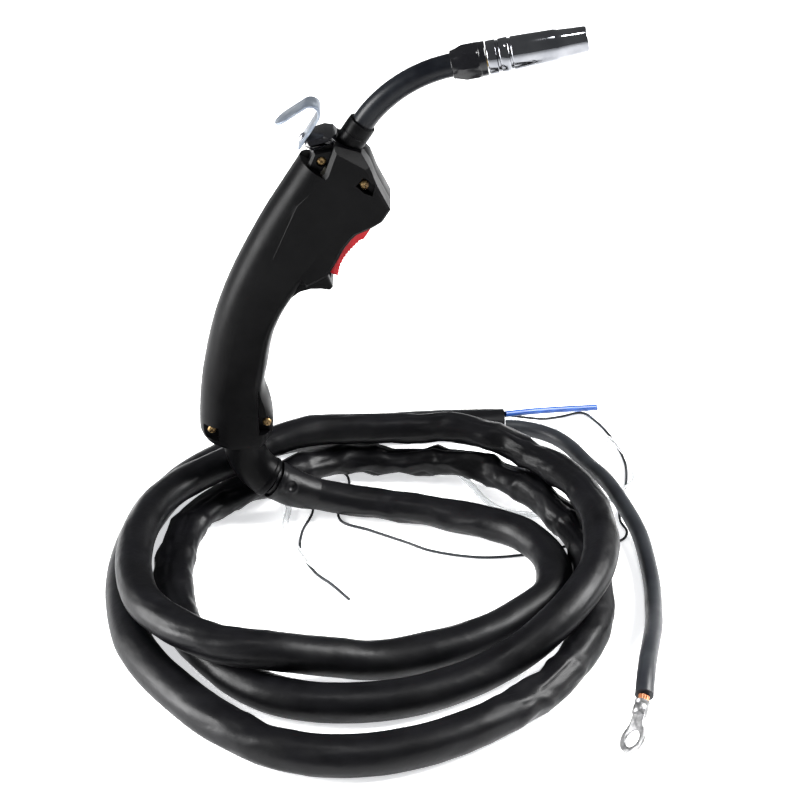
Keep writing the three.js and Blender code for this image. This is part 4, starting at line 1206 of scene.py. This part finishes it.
def add_lug():
    """A crimped tube that is flattened into a tongue and a ring."""
    across = LUG_AXIS.cross(UP).normalized()
    across.rotate(Matrix.Rotation(LUG_ROLL, 3, LUG_AXIS))
    normal = LUG_AXIS.cross(across).normalized()
    outline = [(LUG_BARREL[1] - 3, -4.2), (LUG_REACH - 9.2, -5.0)]
    steps = 40
    for k in range(steps + 1):
        angle = math.radians(-130 + 260 * k / steps)
        outline.append((LUG_REACH + LUG_RING_R * math.cos(angle), LUG_RING_R * math.sin(angle)))
    outline += [(LUG_REACH - 9.2, 5.0), (LUG_BARREL[1] - 3, 4.2)]
    half = LUG_THICKNESS / 2
    plate_solid = slab(LUG_START, (LUG_AXIS, across, normal), outline, (-half, half))
    middle = LUG_START + LUG_AXIS * LUG_REACH
    combine(plate_solid, [rod(LUG_HOLE_R, middle - normal * 3, middle + normal * 3, 48)], "DIFFERENCE")
    soften(plate_solid, 0.35, 50)
    first, last = LUG_BARREL
    profile = [
        (0, first), (4.1, first), (4.4, first + 0.3), (4.4, first + 1.6), (4.15, first + 2.1),
        (4.15, first + 3.6), (4.4, first + 4.1), (4.4, last - 0.5), (4.1, last), (0, last),
    ]
    barrel = turned_solid(profile, LUG_START, LUG_AXIS, 48)
    combine(plate_solid, [barrel], "UNION")
    lug = piece_of(plate_solid, "cable_lug", "tinned", "cable", 35)
    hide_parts("ring_lug")
    return lug


# ---- what stays as the model has it -----------------------------------------------------------------------
KEPT_NODES = {
    "trigger_pin": "steel",
    "switch_body": "moulded",
    "switch_plunger": "red",
    "switch_terminal_upper": "brass",
    "switch_terminal_lower": "brass",
    "handle_wire_upper": "lead",
    "handle_wire_lower": "lead",
    "handle_power_core": "lead",
    "crimp_ferrule": "copper",
    "neck_nut": "brass",
    "neck_tube": "brass",
    "neck_liner": "steel",
    "neck_clamp_block": "nylon",
    "swivel_bush": "nylon",
    "liner_end": "steel",
}


def finish_kept_nodes():
    for name, material in KEPT_NODES.items():
        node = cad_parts[name]
        node.data.materials.clear()
        node.data.materials.append(MATERIALS[material])


# ---- floor and light --------------------------------------------------------------------------------------
FLOOR_HALF_WIDTH = 40
FLOOR_GLOW = 0.62
WORLD_STRENGTH = 0.22


def add_floor():
    """A pale floor that glows a little, like a lit studio table, so shadows on it stay faint."""
    mesh = bpy.data.meshes.new("floor")
    z = at(0, 0, 0).z
    corners = rectangle((-FLOOR_HALF_WIDTH, -FLOOR_HALF_WIDTH), (FLOOR_HALF_WIDTH, FLOOR_HALF_WIDTH))
    mesh.from_pydata([(x, y, z) for x, y in corners], [], [(0, 1, 2, 3)])
    material = new_material("pale_floor", (0.93, 0.93, 0.93), 0.7)
    shader_of(material).inputs["Emission Color"].default_value = (0.97, 0.98, 1, 1)
    shader_of(material).inputs["Emission Strength"].default_value = FLOOR_GLOW
    mesh.materials.append(material)
    floor = new_object("floor", mesh)


def add_sun(name, direction, strength, softness):
    """A distant soft light that shines along a direction. Softness is its width in degrees."""
    data = bpy.data.lights.new(name, "SUN")
    data.energy = strength
    data.angle = math.radians(softness)
    light = new_object(name, data)
    light.rotation_euler = Vector(direction).to_track_quat("-Z", "Y").to_euler()


def add_softbox(name, place, size, power):
    data = bpy.data.lights.new(name, "AREA")
    data.shape = "RECTANGLE"
    data.size, data.size_y = size
    data.energy = power
    light = new_object(name, data)
    light.location = place
    light.rotation_euler = (CAMERA_TARGET - light.location).to_track_quat("-Z", "Y").to_euler()


def add_lights():
    world = bpy.data.worlds.new("world")
    world.use_nodes = True
    background = world.node_tree.nodes["Background"]
    background.inputs["Color"].default_value = (0.96, 0.98, 1, 1)
    background.inputs["Strength"].default_value = WORLD_STRENGTH
    bpy.context.scene.world = world
    bpy.context.scene.view_settings.view_transform = "Standard"
    add_sun("overhead_sun", direction=(0.0, 0.15, -1), strength=0.7, softness=8)
    add_softbox("left_softbox", place=(-1.2, -0.25, 0.3), size=(0.6, 0.9), power=52)
    add_softbox("right_softbox", place=(1.25, 0.15, 0.85), size=(0.8, 0.8), power=75)


add_camera()
add_cords()
add_casing()
add_screws()
add_trigger()
add_neck()
add_holder()
add_nozzle()
add_diffuser_and_tip()
add_spring()
add_cap()
add_hook()
add_knuckle()
add_cuff()
finish_kept_nodes()
add_floor()
add_lights()
